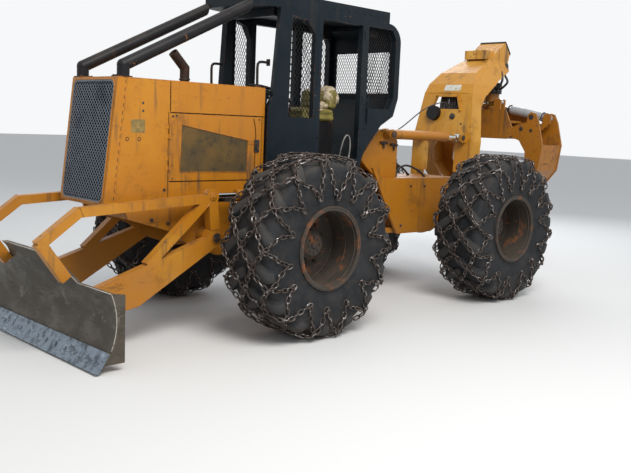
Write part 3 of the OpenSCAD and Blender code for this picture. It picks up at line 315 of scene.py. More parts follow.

# %% [markdown]
# The yellow paint is decades old. It has gone orange in some places and pale in others, it is chipped to rust along
# its edges, streaked by rain and covered with road dust low down. One function makes it, so that each part of the
# machine can be more or less worn. The arch's copy is also lighter and paler all over, which is painted sunlight on
# top of its wear.

# %% Aged paint
def aged_paint(name, base, pale, wear, dirt, grime=0.5, rough=0.42, shine=0.4):
    def shade(factor, lift=0.0):
        return tuple(min(1, c * factor + lift) for c in base)

    paint = Finish(name, base, rough, 0.0, Coat_Weight=0.25 * shine, Coat_Roughness=0.3,
                   Specular_IOR_Level=shine)
    paint.faded(1.6, 0.52, 0.3, pale, 0.5, amount=0.75)
    paint.faded(7.0, 0.42, 0.2, shade(0.72), 0.55, amount=0.5)
    paint.over(paint.effect(streaks, Amount=grime, Scale=11.0), (0.09, 0.055, 0.028), 0.6)
    paint.stained((3.8, 9.0, 0.72, None, 0.52, 0.72), shade(0.40, 0.008), 0.65, amount=min(1, 0.75 * grime))
    paint.stained((7.0, 8.0, 0.78, (0.4, 1.0, 1.8), 0.60, 0.66), shade(0.30, 0.006), 0.7,
                  amount=min(1, 0.6 * grime))
    paint.stained((55.0, 3.0, 0.7, (1.0, 1.0, 0.25), 0.66, 0.74), shade(1.25, 0.03), 0.6, amount=0.35)
    paint.chipped("Rim", 26.0, wear, 1.0, (0.30, 0.11, 0.03), 0.65, amount=0.7)
    bare = paint.effect(chips, "Mask", Scale=26.0, Amount=wear, Edges=1.0)
    paint.over(bare, rust_colour, 0.85)
    paint.dusted(dirt, 5.0, 1.25, dust_colour, 0.9)
    return paint.bump(bare, 0.0012, -0.6).grained((160.0, 3.0), 0.0006, 0.25)


yellow = aged_paint("yellow_paint", (0.42, 0.155, 0.006), (0.52, 0.23, 0.014), 0.45, 0.30, 1.0)
yellow_hood = aged_paint("yellow_paint_hood", (0.45, 0.165, 0.006), (0.53, 0.22, 0.010), 0.36, 0.12, 0.95)
# The arch's paint is lighter and paler than the rest: painted sunlight over the aged paint.
sunlit_yellow_arch = aged_paint("sunlit_yellow_paint_arch", (0.55, 0.245, 0.017), (0.70, 0.42, 0.09), 0.38, 0.18, 0.9)
yellow_blade = aged_paint("yellow_paint_low", (0.44, 0.165, 0.006), (0.54, 0.25, 0.016), 0.48, 0.25, 1.0)
yellow_grapple = aged_paint("yellow_paint_grapple", (0.35, 0.130, 0.007), (0.48, 0.21, 0.02), 0.60, 0.3, 1.2)
print("paints:", [f.material.name for f in (yellow, yellow_hood, sunlit_yellow_arch, yellow_blade, yellow_grapple)])

# %% [markdown]
# The canopy is a dark blue-green, almost black. Rubbed corners show a paler grey primer
# and dust lies thinly over everything. Small fittings are plain black, and gaskets are
# matt. The same function makes them, with other colours and less wear.

# %% Dark paints
canopy = aged_paint("canopy_paint", (0.0045, 0.010, 0.015), (0.010, 0.020, 0.027), 0.10, 0.10, 0.15, 0.4, 0.14)
black_paint = aged_paint("black_paint", (0.007, 0.007, 0.009), (0.016, 0.015, 0.017), 0.36, 0.15, 0.2, 0.42, 0.2)
dark_fitting = aged_paint("dark_fittings", (0.016, 0.015, 0.015), (0.05, 0.045, 0.04), 0.45, 0.4, 0.2, 0.6)
silver = aged_paint("silver_paint", (0.36, 0.38, 0.40), (0.52, 0.54, 0.56), 0.34, 0.3, 0.4, 0.38)
gasket_black = Finish("gasket_black", (0.004, 0.004, 0.005), 0.8, Specular_IOR_Level=0.1)
gasket_black.stained((20.0,), (0.010, 0.009, 0.008), 0.9)
print("dark paints are ready")

# %% [markdown]
# Rubber is matt and close to black, but on a machine in the woods it is never clean: pale dust fills the hollows,
# and the tops of the lugs are a little lighter. The tyre's mesh says where they are, in an attribute that the
# Attribute node reads.

# %% Rubber
rubber = Finish("tyre_rubber", (0.0075, 0.0095, 0.0125), 0.7, Specular_IOR_Level=0.3)
rubber.faded(5.0, 0.55, 0.25, (0.022, 0.024, 0.028), 0.8, amount=0.8)
lug_tops = wire(rubber.tree, "Attribute", {}, attribute_name="lug_top").outputs["Fac"]
rubber.over(ramp(rubber.tree, lug_tops, 0.55, 1.0), (0.050, 0.048, 0.047), 0.85, amount=0.7)
rubber.stained((14.0, 6.0, 0.7, None, 0.42, 0.72), (0.040, 0.035, 0.031), 0.95, amount=0.6)
rubber.dusted(0.34, 9.0, 0.4, (0.105, 0.088, 0.070), 0.95)
rubber.grained((60.0, 5.0, 0.7), 0.004, 0.5).grained((400.0, 2.0), 0.0008, 0.3)

hose_rubber = Finish("hose_rubber", (0.013, 0.013, 0.014), 0.55)
hose_rubber.dusted(0.55, 12.0, 1.0, (0.15, 0.12, 0.09), 0.9)
hose_rubber.stained((24.0, 5.0, 0.7, None, 0.56, 0.68), (0.16, 0.07, 0.03), 0.8, amount=0.6)
hose_rubber.grained((300.0, 3.0), 0.0008, 0.4)
pale_hose = Finish("pale_hose", (0.26, 0.25, 0.23), 0.5)
pale_hose.stained((18.0, 4.0, 0.6, None, 0.5, 0.66), (0.10, 0.085, 0.07), 0.7)
print("rubber is ready")

# %% [markdown]
# Steel appears in several states. The mouldboard has lost its paint and is polished by soil, the cutting edge is
# bare blue-grey steel with painted glints, the chains are brown with painted glints, the rods are chromed, and where
# logs slide over an edge it is rubbed bare.

# %% Worn steels
board_steel = Finish("mouldboard_steel", (0.050, 0.042, 0.031), 0.55, 0.35)
board_steel.stained((3.0, 5.0, 0.6, (0.35, 1.0, 1.6), 0.42, 0.7), (0.105, 0.092, 0.070), 0.42, 0.5)
board_steel.stained((38.0, 4.0, 0.7, (1.0, 0.12, 1.0), 0.55, 0.75), (0.018, 0.015, 0.012), 0.7, 0.3, 0.85)
board_steel.stained((6.0, 7.0, 0.75, (0.2, 1.0, 1.4), 0.60, 0.66), (0.19, 0.17, 0.135), 0.4, 0.7, 0.55)
board_steel.chipped("Mask", 12.0, 0.42, 0.4, (0.15, 0.065, 0.03), 0.85, 0.1, 0.8)
board_steel.dusted(0.25, 4.0, 0.5, dust_colour, 0.9, 0.0).grained((45.0, 5.0, 0.7), 0.002, 0.5)

edge_steel = Finish("edge_steel", (0.19, 0.235, 0.285), 0.36, 0.75)
edge_steel.stained((16.0, 5.0, 0.7, None, 0.45, 0.65), (0.065, 0.080, 0.098), 0.5, 0.6)
# Thin bright streaks along the edge are painted glints.
edge_steel.stained((70.0, 3.0, 0.7, (1.0, 0.2, 1.0), 0.6, 0.75), (0.48, 0.53, 0.58), 0.25, 0.9)
edge_steel.chipped("Mask", 14.0, 0.2, 0.2, (0.16, 0.08, 0.04), 0.8, 0.2)
edge_steel.grained((50.0, 5.0, 0.7), 0.0015, 0.5)

chain_steel = Finish("chain_steel", (0.075, 0.060, 0.052), 0.5, 0.7)
# Pale bright spots on the links are painted glints.
chain_steel.stained((22.0, 4.0, 0.6, None, 0.52, 0.66), (0.36, 0.33, 0.32), 0.3, 0.95)
chain_steel.stained((9.0, 5.0, 0.7, None, 0.5, 0.7), (0.075, 0.037, 0.023), 0.8, 0.2, 0.8)
chain_steel.grained((200.0, 3.0), 0.0008, 0.4)

chrome = Finish("chrome_rod", (0.62, 0.63, 0.64), 0.16, 1.0)
chrome.stained((30.0, 4.0, 0.6, None, 0.58, 0.72), (0.30, 0.27, 0.23), 0.4, 0.8)
# Bright bare steel: rubbed on the deck's edge, and a painted highlight on the mouldboard.
rubbed_steel_and_highlight = Finish("rubbed_steel_and_highlight", (0.50, 0.47, 0.42), 0.35, 0.85)
rubbed_steel_and_highlight.stained((30.0, 5.0, 0.7, None, 0.5, 0.65), (0.20, 0.11, 0.06), 0.75, 0.3)
print("worn steels are ready")

# %% Rusty, screened and cast steels
rust = Finish("rusty_steel", (0.050, 0.026, 0.019), 0.8, 0.2)
rust.stained((9.0, 6.0, 0.65, None, 0.4, 0.65), (0.018, 0.013, 0.012), 0.8)
rust.stained((28.0, 5.0, 0.7, None, 0.58, 0.7), (0.15, 0.062, 0.028), 0.85, amount=0.7)
rust.grained((90.0, 5.0, 0.7), 0.002, 0.6)

rim_finish = Finish("rim_paint", (0.042, 0.033, 0.026), 0.68, 0.15)
rim_finish.faded(3.2, 0.5, 0.25, (0.062, 0.048, 0.036), 0.75)
rim_finish.stained((7.0, 6.0, 0.7, None, 0.52, 0.68), (0.20, 0.070, 0.022), 0.8)
rim_finish.dusted(0.3, 8.0, 0.6, (0.15, 0.115, 0.08), 0.92).grained((70.0, 5.0, 0.7), 0.0015, 0.5)

guard_steel = Finish("guard_steel", (0.012, 0.012, 0.013), 0.5, 0.2, Specular_IOR_Level=0.3)
guard_steel.stained((12.0, 5.0, 0.7, None, 0.56, 0.70), (0.060, 0.030, 0.019), 0.8, amount=0.6)
grille_steel = Finish("grille_steel", (0.125, 0.150, 0.185), 0.42, 0.3)
grille_steel.faded(4.0, 0.5, 0.25, (0.060, 0.075, 0.100), 0.5)
grille_steel.stained((40.0, 4.0, 0.7, None, 0.60, 0.70), (0.24, 0.27, 0.31), 0.35, 0.6)
grille_steel.stained((14.0, 5.0, 0.7, None, 0.58, 0.70), (0.085, 0.048, 0.028), 0.8, 0.0, 0.6)

cast = Finish("cast_engine", (0.018, 0.018, 0.02), 0.65, 0.2)
cast.dusted(0.8, 8.0, 1.2, (0.12, 0.095, 0.07), 0.9)
cast.stained((12.0, 5.0, 0.6, None, 0.5, 0.7), (0.035, 0.028, 0.022), 0.5)
cast.grained((60.0, 5.0), 0.003, 0.5)
print("rusty and cast steels are ready")

# %% [markdown]
# Some small surfaces have a finish of their own: an old olive patch, a blank pale plate,
# the lamps' glass, and the grimy screens in the doors. Those have holes too small to be
# mesh, so a Voronoi texture with no randomness gives a regular net of dots.

# %% Finishes of small pieces
olive = Finish("faded_patch", (0.20, 0.135, 0.038), 0.7)
olive.stained((28.0, 5.0, 0.7, None, 0.45, 0.65), (0.32, 0.20, 0.05), 0.65)
olive.stained((9.0, 4.0, 0.6, (1.0, 1.0, 2.2), 0.55, 0.7), (0.075, 0.055, 0.025), 0.8)
olive.grained((120.0, 4.0), 0.0006, 0.4)
blank = Finish("blank_plate", (0.66, 0.66, 0.60), 0.55)
blank.stained((22.0, 5.0, 0.7, None, 0.52, 0.66), (0.42, 0.36, 0.22), 0.7)
blank.dusted(0.5, 14.0, 0.5, (0.30, 0.25, 0.17), 0.85)
lens_glass = Finish("lamp_lens", (0.62, 0.64, 0.62), 0.12, 0.0, Coat_Weight=0.5, Coat_Roughness=0.06)
lens_glass.stained((60.0, 2.0, 0.5, (1.0, 1.0, 0.05), 0.4, 0.6), (0.34, 0.36, 0.36), 0.2)
lens_glass.dusted(0.35, 10.0, 0.1, dust_colour, 0.8)

door_screen = Finish("door_screen", (0.078, 0.050, 0.016), 0.72, 0.1)
door_screen.faded(4.0, 0.55, 0.25, (0.135, 0.075, 0.015))
door_screen.stained((13.0, 6.0, 0.7, None, 0.5, 0.7), (0.040, 0.030, 0.016), 0.8)
place = wire(door_screen.tree, "TexCoord", {}).outputs["Object"]
net = wire(door_screen.tree, "TexVoronoi", {"Vector": place, "Scale": 125.0, "Randomness": 0.0})
dots = ramp(door_screen.tree, net.outputs["Distance"], 0.42, 0.30)
door_screen.over(dots, (0.020, 0.016, 0.010), 0.9, amount=0.75).bump(dots, 0.002, -0.6)
print("small finishes are ready")

# %% [markdown]
# The seat is padded vinyl, so its plain solids are replaced by soft forms. A rounded box
# is remeshed to an even net and blown up a little with cloth pressure, which crowns the
# faces and pulls the sides in between the corners. The move of each point is capped, so
# that the pad stays in its place. Piping follows the sewn seam, and torn places show the
# pale foam.

# %% Seat finishes
vinyl = Finish("seat_vinyl", (0.20, 0.165, 0.032), 0.5, 0.0)
vinyl.faded(5.0, 0.5, 0.25, (0.30, 0.255, 0.065), 0.5)
vinyl.stained((16.0, 6.0, 0.7, None, 0.52, 0.68), (0.115, 0.088, 0.022), 0.65)
vinyl.over(vinyl.effect(streaks, Amount=0.7, Scale=14.0), (0.045, 0.035, 0.014), 0.7)
vinyl.dusted(0.35, 9.0, 0.1, (0.30, 0.25, 0.17), 0.9)
vinyl.grained((260.0, 4.0, 0.6), 0.0012, 0.45).grained((20.0, 4.0, 0.6), 0.006, 0.35)
foam = Finish("torn_foam", (0.66, 0.56, 0.40), 0.95, 0.0)
foam.stained((60.0, 6.0, 0.75, None, 0.5, 0.62), (0.34, 0.24, 0.12), 0.95)
foam.stained((14.0, 5.0, 0.7, None, 0.52, 0.66), (0.16, 0.10, 0.05), 0.95, amount=0.8)
foam.grained((140.0, 6.0, 0.8), 0.006, 0.9)
print("seat finishes are ready")


# %% Soft pads
def apply_modifiers(thing):
    """Makes a mesh of what the modifiers show, and takes the modifiers off."""
    graph = bpy.context.evaluated_depsgraph_get()
    shown = bpy.data.meshes.new_from_object(thing.evaluated_get(graph))
    thing.modifiers.clear()
    old, thing.data = thing.data, shown
    bpy.data.meshes.remove(old)


def swell(pad, half, cap, last_frame=20):
    """Blows the pad up by cloth pressure, and moves no point by more than the cap."""
    rest = [v.co.copy() for v in pad.data.vertices]
    cloth = pad.modifiers.new("pressure", "CLOTH")
    cloth.settings.use_pressure = True
    cloth.settings.uniform_pressure_force = 4.0
    cloth.settings.effector_weights.gravity = 0.0
    cloth.settings.quality = 4
    cloth.point_cache.frame_start, cloth.point_cache.frame_end = 1, last_frame
    for step in range(1, last_frame + 1):
        scene.frame_set(step)
    swollen = pad.evaluated_get(bpy.context.evaluated_depsgraph_get()).to_mesh()
    moved = [v.co.copy() for v in swollen.vertices]
    pad.modifiers.remove(cloth)
    scene.frame_set(1)
    for vertex, old, new in zip(pad.data.vertices, rest, moved):
        shift = new - old
        if shift.length > cap:
            shift *= cap / shift.length
        if old.z < -0.2 * half[2]:  # the underside rests on the seat's shell
            shift *= 0.35
        vertex.co = old + shift


def soft_pad(name, half, centre, turn, node, cap=0.014, voxel=0.011):
    """A pad of half sizes round a centre, turned by a matrix, crowned by cloth pressure."""
    form = bmesh.new()
    bmesh.ops.create_cube(form, size=2.0)
    for vertex in form.verts:
        vertex.co = Vector([c * h for c, h in zip(vertex.co, half)])
    bmesh.ops.bevel(form, geom=form.edges[:] + form.verts[:], offset=min(half) * 0.55, segments=4,
                    profile=0.6, affect="EDGES")
    mesh = bpy.data.meshes.new(name)
    form.to_mesh(mesh)
    form.free()
    pad = bpy.data.objects.new(name, mesh)
    scene.collection.objects.link(pad)
    remesh = pad.modifiers.new("even_net", "REMESH")
    remesh.mode, remesh.voxel_size = "VOXEL", voxel
    apply_modifiers(pad)
    swell(pad, half, cap)
    finer = pad.modifiers.new("finer", "SUBSURF")
    finer.levels = finer.render_levels = 1
    apply_modifiers(pad)
    for vertex in pad.data.vertices:
        wrinkle = noise.noise(vertex.co * 9.0) * 0.005 + noise.noise(vertex.co * 26.0) * 0.0018
        vertex.co += vertex.normal * (wrinkle - 0.003)
        vertex.co = turn @ vertex.co + centre
    pad.data.shade_smooth()
    pad.data.materials.append(vinyl.material)
    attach(pad, "front_frame")
    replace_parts(pad, node)
    print(name, len(pad.data.vertices), "vertices")


lean_back = Matrix.Rotation(-math.atan2(0.050, 0.340), 3, "Y")
soft_pad("seat_pad", (0.226, 0.226, 0.056), at(-0.845, 0, 1.9135), Matrix.Identity(3), "seat_cushion")
soft_pad("seat_back_pad", (0.048, 0.226, 0.090), at(-1.042, 0, 2.072), lean_back, "seat_back")

# %% [markdown]
# A CAD node whose shape is right stays and only gets its finish. Real plate never has a
# perfectly sharp edge, so each rigid node also gets a small Bevel modifier, limited by
# angle, which catches the light along every corner. The table gives each finish its
# bevel's width and its nodes; a name that ends in _ stands for a left and a right one.

# %% Dress the CAD nodes
dressing = (
    (yellow, 0.004, "front_chassis rear_chassis front_axle rear_axle arch_barrel_"),
    (yellow_hood, 0.004, "hood engine_door_"),
    (yellow_blade, 0.004, "push_frame lift_barrel_"),
    (sunlit_yellow_arch, 0.005, "arch"),
    (yellow_grapple, 0.004, "grapple_head tong_"),
    (canopy, 0.005, "cab_floor cab_side_ cab_front cab_rear cab_roof"),
    (black_paint, 0.002, "window_guards seat_base controls work_lamps limb_risers arch_boss"
                         " grapple_hanger steer_barrel_"),
    (gasket_black, 0.002, "grille"),
    (cast, 0.006, "engine_block"),
    (rust, 0.0, "exhaust"),
    (board_steel, 0.003, "blade"),
    (edge_steel, 0.003, "cutting_edge"),
    (chrome, 0.0, "lift_rod_ arch_rod_ steer_rod_ tong_rod_"),
    (silver, 0.0, "tong_barrel_"),
    (rubber, 0.0, "tyre_front_ tyre_rear_"),
    (rim_finish, 0.0, "rim_front_ rim_rear_"),
    (chain_steel, 0.0, "chain_front_ chain_rear_"),
    (vinyl, 0.0, "seat_cushion seat_back"),
)
for finish, width, names in dressing:
    for name in names.split():
        for node in [nodes[name + side] for side in hands] if name.endswith("_") else [nodes[name]]:
            node.data.materials.clear()
            node.data.materials.append(finish.material)
            if width:
                edges = node.modifiers.new("worn_edges", "BEVEL")
                edges.width, edges.segments, edges.limit_method = width, 2, "ANGLE"
                edges.angle_limit = math.radians(40)
                edges.use_clamp_overlap = True
print("dressed:", len(nodes), "nodes")

# %% [markdown]
# From here on the machine gets pieces that only a mesh can give. They are all made of a
# few simple forms: a bar that follows points, a ring, a box, a bolt head. Most of them
# are rings of points with quads between them, so one function makes those quads. A batch
# gathers many forms into one mesh, so that each piece is one object that rides on one body.

# %% Rings of points and the skin over them
def circle(count):
    return [2 * math.pi * k / count for k in range(count)]


def round_points(centre, u, v, count):
    """Points evenly round an oval; u and v are its half axes."""
    return [centre + Vector(u) * math.cos(a) + Vector(v) * math.sin(a) for a in circle(count)]


def skin(rings, count, closed=False, caps=False, flip=False):
    """Quads over rings that follow each other; caps close the first and the last ring."""
    faces = []
    for r in range(rings if closed else rings - 1):
        here, there = r * count, (r + 1) % rings * count
        faces += [(here + s, here + (s + 1) % count, there + (s + 1) % count, there + s) for s in range(count)]
    if caps:
        faces += [tuple(reversed(range(count))), tuple(range((rings - 1) * count, rings * count))]
    return [(face[0], *reversed(face[1:])) for face in faces] if flip else faces


# %% Simple forms, gathered in batches
class Batch:
    """Gathers forms that share a finish and a body into one mesh."""

    def __init__(self):
        self.vertices, self.faces = [], []

    def add(self, vertices, faces):
        start = len(self.vertices)
        self.vertices.extend(tuple(v) for v in vertices)
        self.faces.extend(tuple(start + i for i in face) for face in faces)

    def bar(self, points, radius, sides=8, closed=False, flat=1.0):
        """A round bar along the points; flat below 1 makes it oval."""
        points = [Vector(p) for p in points]
        count = len(points)
        rings, across = [], None
        for index, point in enumerate(points):
            before = points[index - 1] if index or closed else point
            after = points[(index + 1) % count] if closed or index < count - 1 else point
            along = (after - before).normalized()
            across = along.orthogonal() if across is None else across - along * across.dot(along)
            across.normalize()
            rings += round_points(point, across * radius, along.cross(across) * radius * flat, sides)
        self.add(rings, skin(count, sides, closed, caps=not closed))

    def ring(self, centre, u, v, thick, count):
        self.bar(round_points(centre, u, v, count), thick, sides=6, closed=True)

    def box(self, centre, half, turn=Matrix.Identity(3)):
        corners = [turn @ Vector((x * half[0], y * half[1], z * half[2]))
                   for x in (-1, 1) for y in (-1, 1) for z in (-1, 1)]
        faces = [(0, 1, 3, 2), (4, 6, 7, 5), (0, 4, 5, 1), (2, 3, 7, 6), (0, 2, 6, 4), (1, 5, 7, 3)]
        self.add([Vector(centre) + c for c in corners], faces)

    def bolt(self, place, normal, radius=0.012, height=0.01, sides=6):
        """A bolt head, or a rivet with more sides, standing on a surface."""
        normal = Vector(normal).normalized()
        across = normal.orthogonal().normalized()
        rings = []
        for rise, share in ((-0.002, radius), (height * 0.75, radius), (height, radius * 0.78)):
            rings += round_points(Vector(place) + normal * rise, across * share, normal.cross(across) * share, sides)
        self.add(rings, skin(3, sides, caps=True))

    def studs(self, hand, places, *size):
        """Bolt heads that stand out from one side of the machine."""
        for place in on_side(hand, places):
            self.bolt(place, (0, hand, 0), *size)

    def piece(self, name, finish, body, slot, smooth=False):
        mesh = bpy.data.meshes.new(name)
        mesh.from_pydata(self.vertices, [], self.faces)
        if smooth:
            mesh.shade_smooth()
        mesh.materials.append(finish.material)
        thing = bpy.data.objects.new(name, mesh)
        scene.collection.objects.link(thing)
        if body:  # a piece without a body is left without a parent
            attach(thing, body)
        print(f"{name}: {sum(len(p.vertices) - 2 for p in mesh.polygons)} triangles on {body}")
        return thing


def soften(thing, width=0.0015):
    edges = thing.modifiers.new("soft_edges", "BEVEL")
    edges.width, edges.segments, edges.limit_method = width, 2, "ANGLE"


# %% [markdown]
# The tyres come first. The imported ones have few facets, so a finer tyre stands for each:
# a section turned about the axle, with broad worn lugs laid over it. Its lugs are a
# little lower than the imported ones, because the chains lie on top of them and must end
# at the same radius.

# %% Tyres
wheels = {(end, side): Vector((x, hand * wheel_y, wheel_z))
          for end, x in (("front", axle_x), ("rear", rear_axle_x)) for side, hand in hands.items()}
# Across and radius, from the inner bead to the middle of the tread
tyre_section = [(0.234, 0.341), (0.238, 0.352), (0.247, 0.360), (0.249, 0.372), (0.245, 0.384), (0.252, 0.430),
                (0.256, 0.437), (0.258, 0.446), (0.260, 0.453), (0.267, 0.530), (0.270, 0.600), (0.268, 0.655),
                (0.261, 0.690), (0.243, 0.709), (0.213, 0.719), (0.120, 0.727), (0.0, 0.730)]
tyre_section += [(-y, r) for y, r in reversed(tyre_section[:-1])]
# Across, foot, top and half width in pitches, from the tread's middle down the side wall
lug_rows = [(-0.018, 0.728, 0.753, 0.10), (0.010, 0.727, 0.763, 0.14), (0.090, 0.724, 0.766, 0.165),
            (0.160, 0.721, 0.765, 0.175), (0.215, 0.713, 0.762, 0.18), (0.247, 0.701, 0.752, 0.18),
            (0.262, 0.684, 0.728, 0.17), (0.2695, 0.666, 0.700, 0.155), (0.271, 0.650, 0.672, 0.13)]
lug_top_share = [0.0, 0.5, 1.0, 1.0, 1.0, 0.5, 0.0]  # of the points across a lug
lug_count, lug_width, around = 15, 7, 90
lug_faces = [(a, a + 1, a + 1 + lug_width, a + lug_width) for row in range(len(lug_rows) - 1)
             for a in range(row * lug_width, row * lug_width + lug_width - 1)]
lug_faces += [tuple(reversed(range(lug_width))),
              tuple(range((len(lug_rows) - 1) * lug_width, len(lug_rows) * lug_width))]


def on_wheel(centre, across, radius, turn):
    """A point at a radius and a turn about a wheel's axle."""
    return centre + Vector((radius * math.sin(turn), across, radius * math.cos(turn)))


def lug(batch, centre, hand, number):
    pitch, wear = 2 * math.pi / lug_count, random.uniform(-0.004, 0.001)
    points = []
    for across, foot, top, half in lug_rows:
        slant = 0.62 * max(0, across - 0.03) / 0.242
        middle = (number + 0.29 + (0.5 if hand > 0 else 0) + slant) * pitch
        top += wear
        out = 0.004 if across > 0.26 else 0
        profile = [(1.35, foot - 0.012, -0.004), (1.08, foot + 0.55 * (top - foot), 0), (0.82, top - 0.002, out)]
        profile = [(-share, *rest) for share, *rest in profile] + [(0, top, out)] + profile[::-1]
        points += [on_wheel(centre, hand * (across + push), radius, middle + share * half * pitch)
                   for share, radius, push in profile]
    batch.add(points, lug_faces if hand > 0 else [face[::-1] for face in lug_faces])


for (end, side), centre in wheels.items():
    tyre = Batch()
    tyre.add([on_wheel(centre, y, r, a) for y, r in tyre_section for a in circle(around)],
             skin(len(tyre_section), around, closed=True, flip=True))
    name = f"lugged_tyre_{end}_{side}"
    random.seed(name)
    for hand in (-1, 1):
        for number in range(lug_count):
            lug(tyre, centre, hand, number)
    tops = [0.0] * (len(tyre_section) * around) + lug_top_share * (len(lug_rows) * 2 * lug_count)
    piece = tyre.piece(name, rubber, f"wheel_{end}_{side}", "tyre", smooth=True)
    piece.data.attributes.new("lug_top", "FLOAT", "POINT").data.foreach_set("value", tops)
    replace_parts(piece, f"tyre_{end}_{side}")

# %% [markdown]
# The chains are a net of real links. Rows of knots lie across the tread, shifted by half a
# cell from row to row, and strands between them make diamonds. From the tread's edge a
# zigzag runs down each side wall. The strands follow the tyre's surface, a little loose and
# uneven, and every second link is rolled the other way, as in any chain.

# %% A chain link
link_bar, link_half_width, link_pitch = 0.0062, 0.016, 0.050
link_straight = (link_pitch + 2 * link_bar) / 2 - link_half_width
link_points = []  # in the link's own plane: X along, Y across
for hand, first in ((1, -90), (-1, 90)):
    for step in range(5):
        turn = math.radians(first + 45 * step)
        for a in circle(5):
            reach = link_half_width + link_bar * math.cos(a)
            link_points.append((hand * link_straight + reach * math.cos(turn), reach * math.sin(turn),
                                link_bar * math.sin(a)))
link_faces = skin(10, 5, closed=True, flip=True)
print("one link:", len(link_points), "points,", 2 * len(link_faces), "triangles")

# %% The way that a strand takes over a tyre
chain_section = [(0.0, 0.7728), (0.150, 0.7728), (0.225, 0.7695), (0.256, 0.761), (0.270, 0.740), (0.2775, 0.705),
                 (0.279, 0.650), (0.279, 0.590), (0.277, 0.530), (0.275, 0.465), (0.268, 0.415), (0.262, 0.392)]


def running_lengths(points):
    lengths = [0.0]
    for a, b in zip(points, points[1:]):
        lengths.append(lengths[-1] + math.dist(a, b))
    return lengths


def locate(lengths, target):
    """Which stretch of a line holds a distance, and how far along the stretch it is."""
    index = max(i for i, length in enumerate(lengths[:-1]) if length <= target)
    return index, (target - lengths[index]) / (lengths[index + 1] - lengths[index])


section_length = running_lengths(chain_section)


def over_section(distance):
    """Across, radius and the outward direction, at a distance from the tread's middle."""
    hand = -1 if distance < 0 else 1
    index, share = locate(section_length, min(abs(distance), section_length[-1] - 0.0001))
    (y0, r0), (y1, r1) = chain_section[index], chain_section[index + 1]
    size = math.hypot(y1 - y0, r1 - r0)
    return hand * (y0 + share * (y1 - y0)), r0 + share * (r1 - r0), hand * (r0 - r1) / size, (y1 - y0) / size


# %% Chain nets
chain_cells = 14
knot_rows = (-0.262, -0.132, 0.0, 0.132, 0.262)


def strand(batch, centre, start, end, loose, steps=12):
    """Links from one knot to another; a knot is (distance over the section, turn)."""
    phase = random.uniform(0, 6.28)
    line, outs = [], []
    for k in range(steps + 1):
        share = k / steps
        slack = math.sin(math.pi * share) * loose
        distance = start[0] + (end[0] - start[0]) * share + slack * math.sin(phase + 5 * share)
        turn = start[1] + (end[1] - start[1]) * share + slack * 1.3 * math.cos(phase + 4 * share)
        across, radius, aside, away = over_section(distance)
        line.append(on_wheel(centre, across, radius, turn))
        outs.append(Vector((math.sin(turn) * away, aside, math.cos(turn) * away)).normalized())
    lengths = running_lengths(line)
    count = max(2, round(lengths[-1] / link_pitch))
    stretch = lengths[-1] / count / link_pitch
    for k in range(count):
        index, share = locate(lengths, (k + 0.5) / count * lengths[-1])
        along = (line[index + 1] - line[index]).normalized()
        out = outs[index].lerp(outs[index + 1], share).normalized()
        roll = math.radians(random.uniform(-14, 14) + (42 if k % 2 else -42))
        across = along.cross(out).normalized()
        out = across.cross(along)
        across, out = (math.cos(roll) * across + math.sin(roll) * out,
                       math.cos(roll) * out - math.sin(roll) * across)
        middle = line[index].lerp(line[index + 1], share)
        batch.add([middle + along * (x * stretch) + across * y + out * z for x, y, z in link_points], link_faces)


def build_chain(batch, centre):
    cell = 2 * math.pi / chain_cells
    offset = random.uniform(0, cell)

    def knot(distance, k, shift):
        return (distance + random.uniform(-0.014, 0.014),
                (k + shift + random.uniform(-0.06, 0.06)) * cell + offset)

    knots = [[knot(distance, k, 0.5 * (row % 2)) for k in range(chain_cells)]
             for row, distance in enumerate(knot_rows)]
    for row in range(len(knot_rows) - 1):
        for k, here in enumerate(knots[row]):
            for step in (0, 1 if row % 2 else -1):
                there = knots[row + 1][(k + step) % chain_cells]
                turn = here[1] + (there[1] - here[1] + math.pi) % (2 * math.pi) - math.pi
                strand(batch, centre, here, (there[0], turn), 0.012)
    for hand, row in ((-1, knots[0]), (1, knots[-1])):
        for k, here in enumerate(row):
            following = row[(k + 1) % chain_cells]
            second = following[1] + (2 * math.pi if k == chain_cells - 1 else 0)
            turn = (here[1] + second) / 2 + random.uniform(-0.05, 0.05)
            droop = 0.5 * (1 - math.cos(turn))  # the net hangs away from the wall at the foot
            reach = hand * (section_length[-1] - 0.02 - 0.085 * droop - random.uniform(0, 0.035))
            strand(batch, centre, here, (reach, turn), 0.020)
            strand(batch, centre, (reach, turn), (following[0], second), 0.020)


for (end, side), centre in wheels.items():
    chain, name = Batch(), f"tyre_chain_{end}_{side}"
    random.seed(name)
    build_chain(chain, centre)
    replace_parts(chain.piece(name, chain_steel, f"wheel_{end}_{side}", "worn_steel", smooth=True),
                f"chain_{end}_{side}")

# %% [markdown]
# The canopy's openings are filled with expanded metal, a sheet that was slit and pulled
# open into tall diamonds. Solid bars of that number would be slow to draw one by one, so
# two families of thin flat strands are clipped to each opening's outline. A border bar
# holds them, as the welded frame does on the real guard. These panels stand for the
# packed guards, which have coarse bars in the same places.

# %% Expanded metal
def signed_area(outline):
    """Above 0 where the outline runs anticlockwise; only its sign is used."""
    return sum(a[0] * b[1] - b[0] * a[1] for a, b in zip(outline, outline[1:] + outline[:1]))


def clipped(outline, start, along):
    """Where a line through start, in the direction along, enters and leaves a convex outline."""
    low, high = -1e9, 1e9
    hand = 1 if signed_area(outline) > 0 else -1
    for (ax, ay), (bx, by) in zip(outline, outline[1:] + outline[:1]):
        distance = hand * ((ay - by) * (start[0] - ax) + (bx - ax) * (start[1] - ay))
        speed = hand * ((ay - by) * along[0] + (bx - ax) * along[1])
        if speed > 1e-9:
            low = max(low, -distance / speed)
        elif speed < -1e-9:
            high = min(high, -distance / speed)
        elif distance < 0:
            return None
    return (low, high) if high - low > 0.004 else None


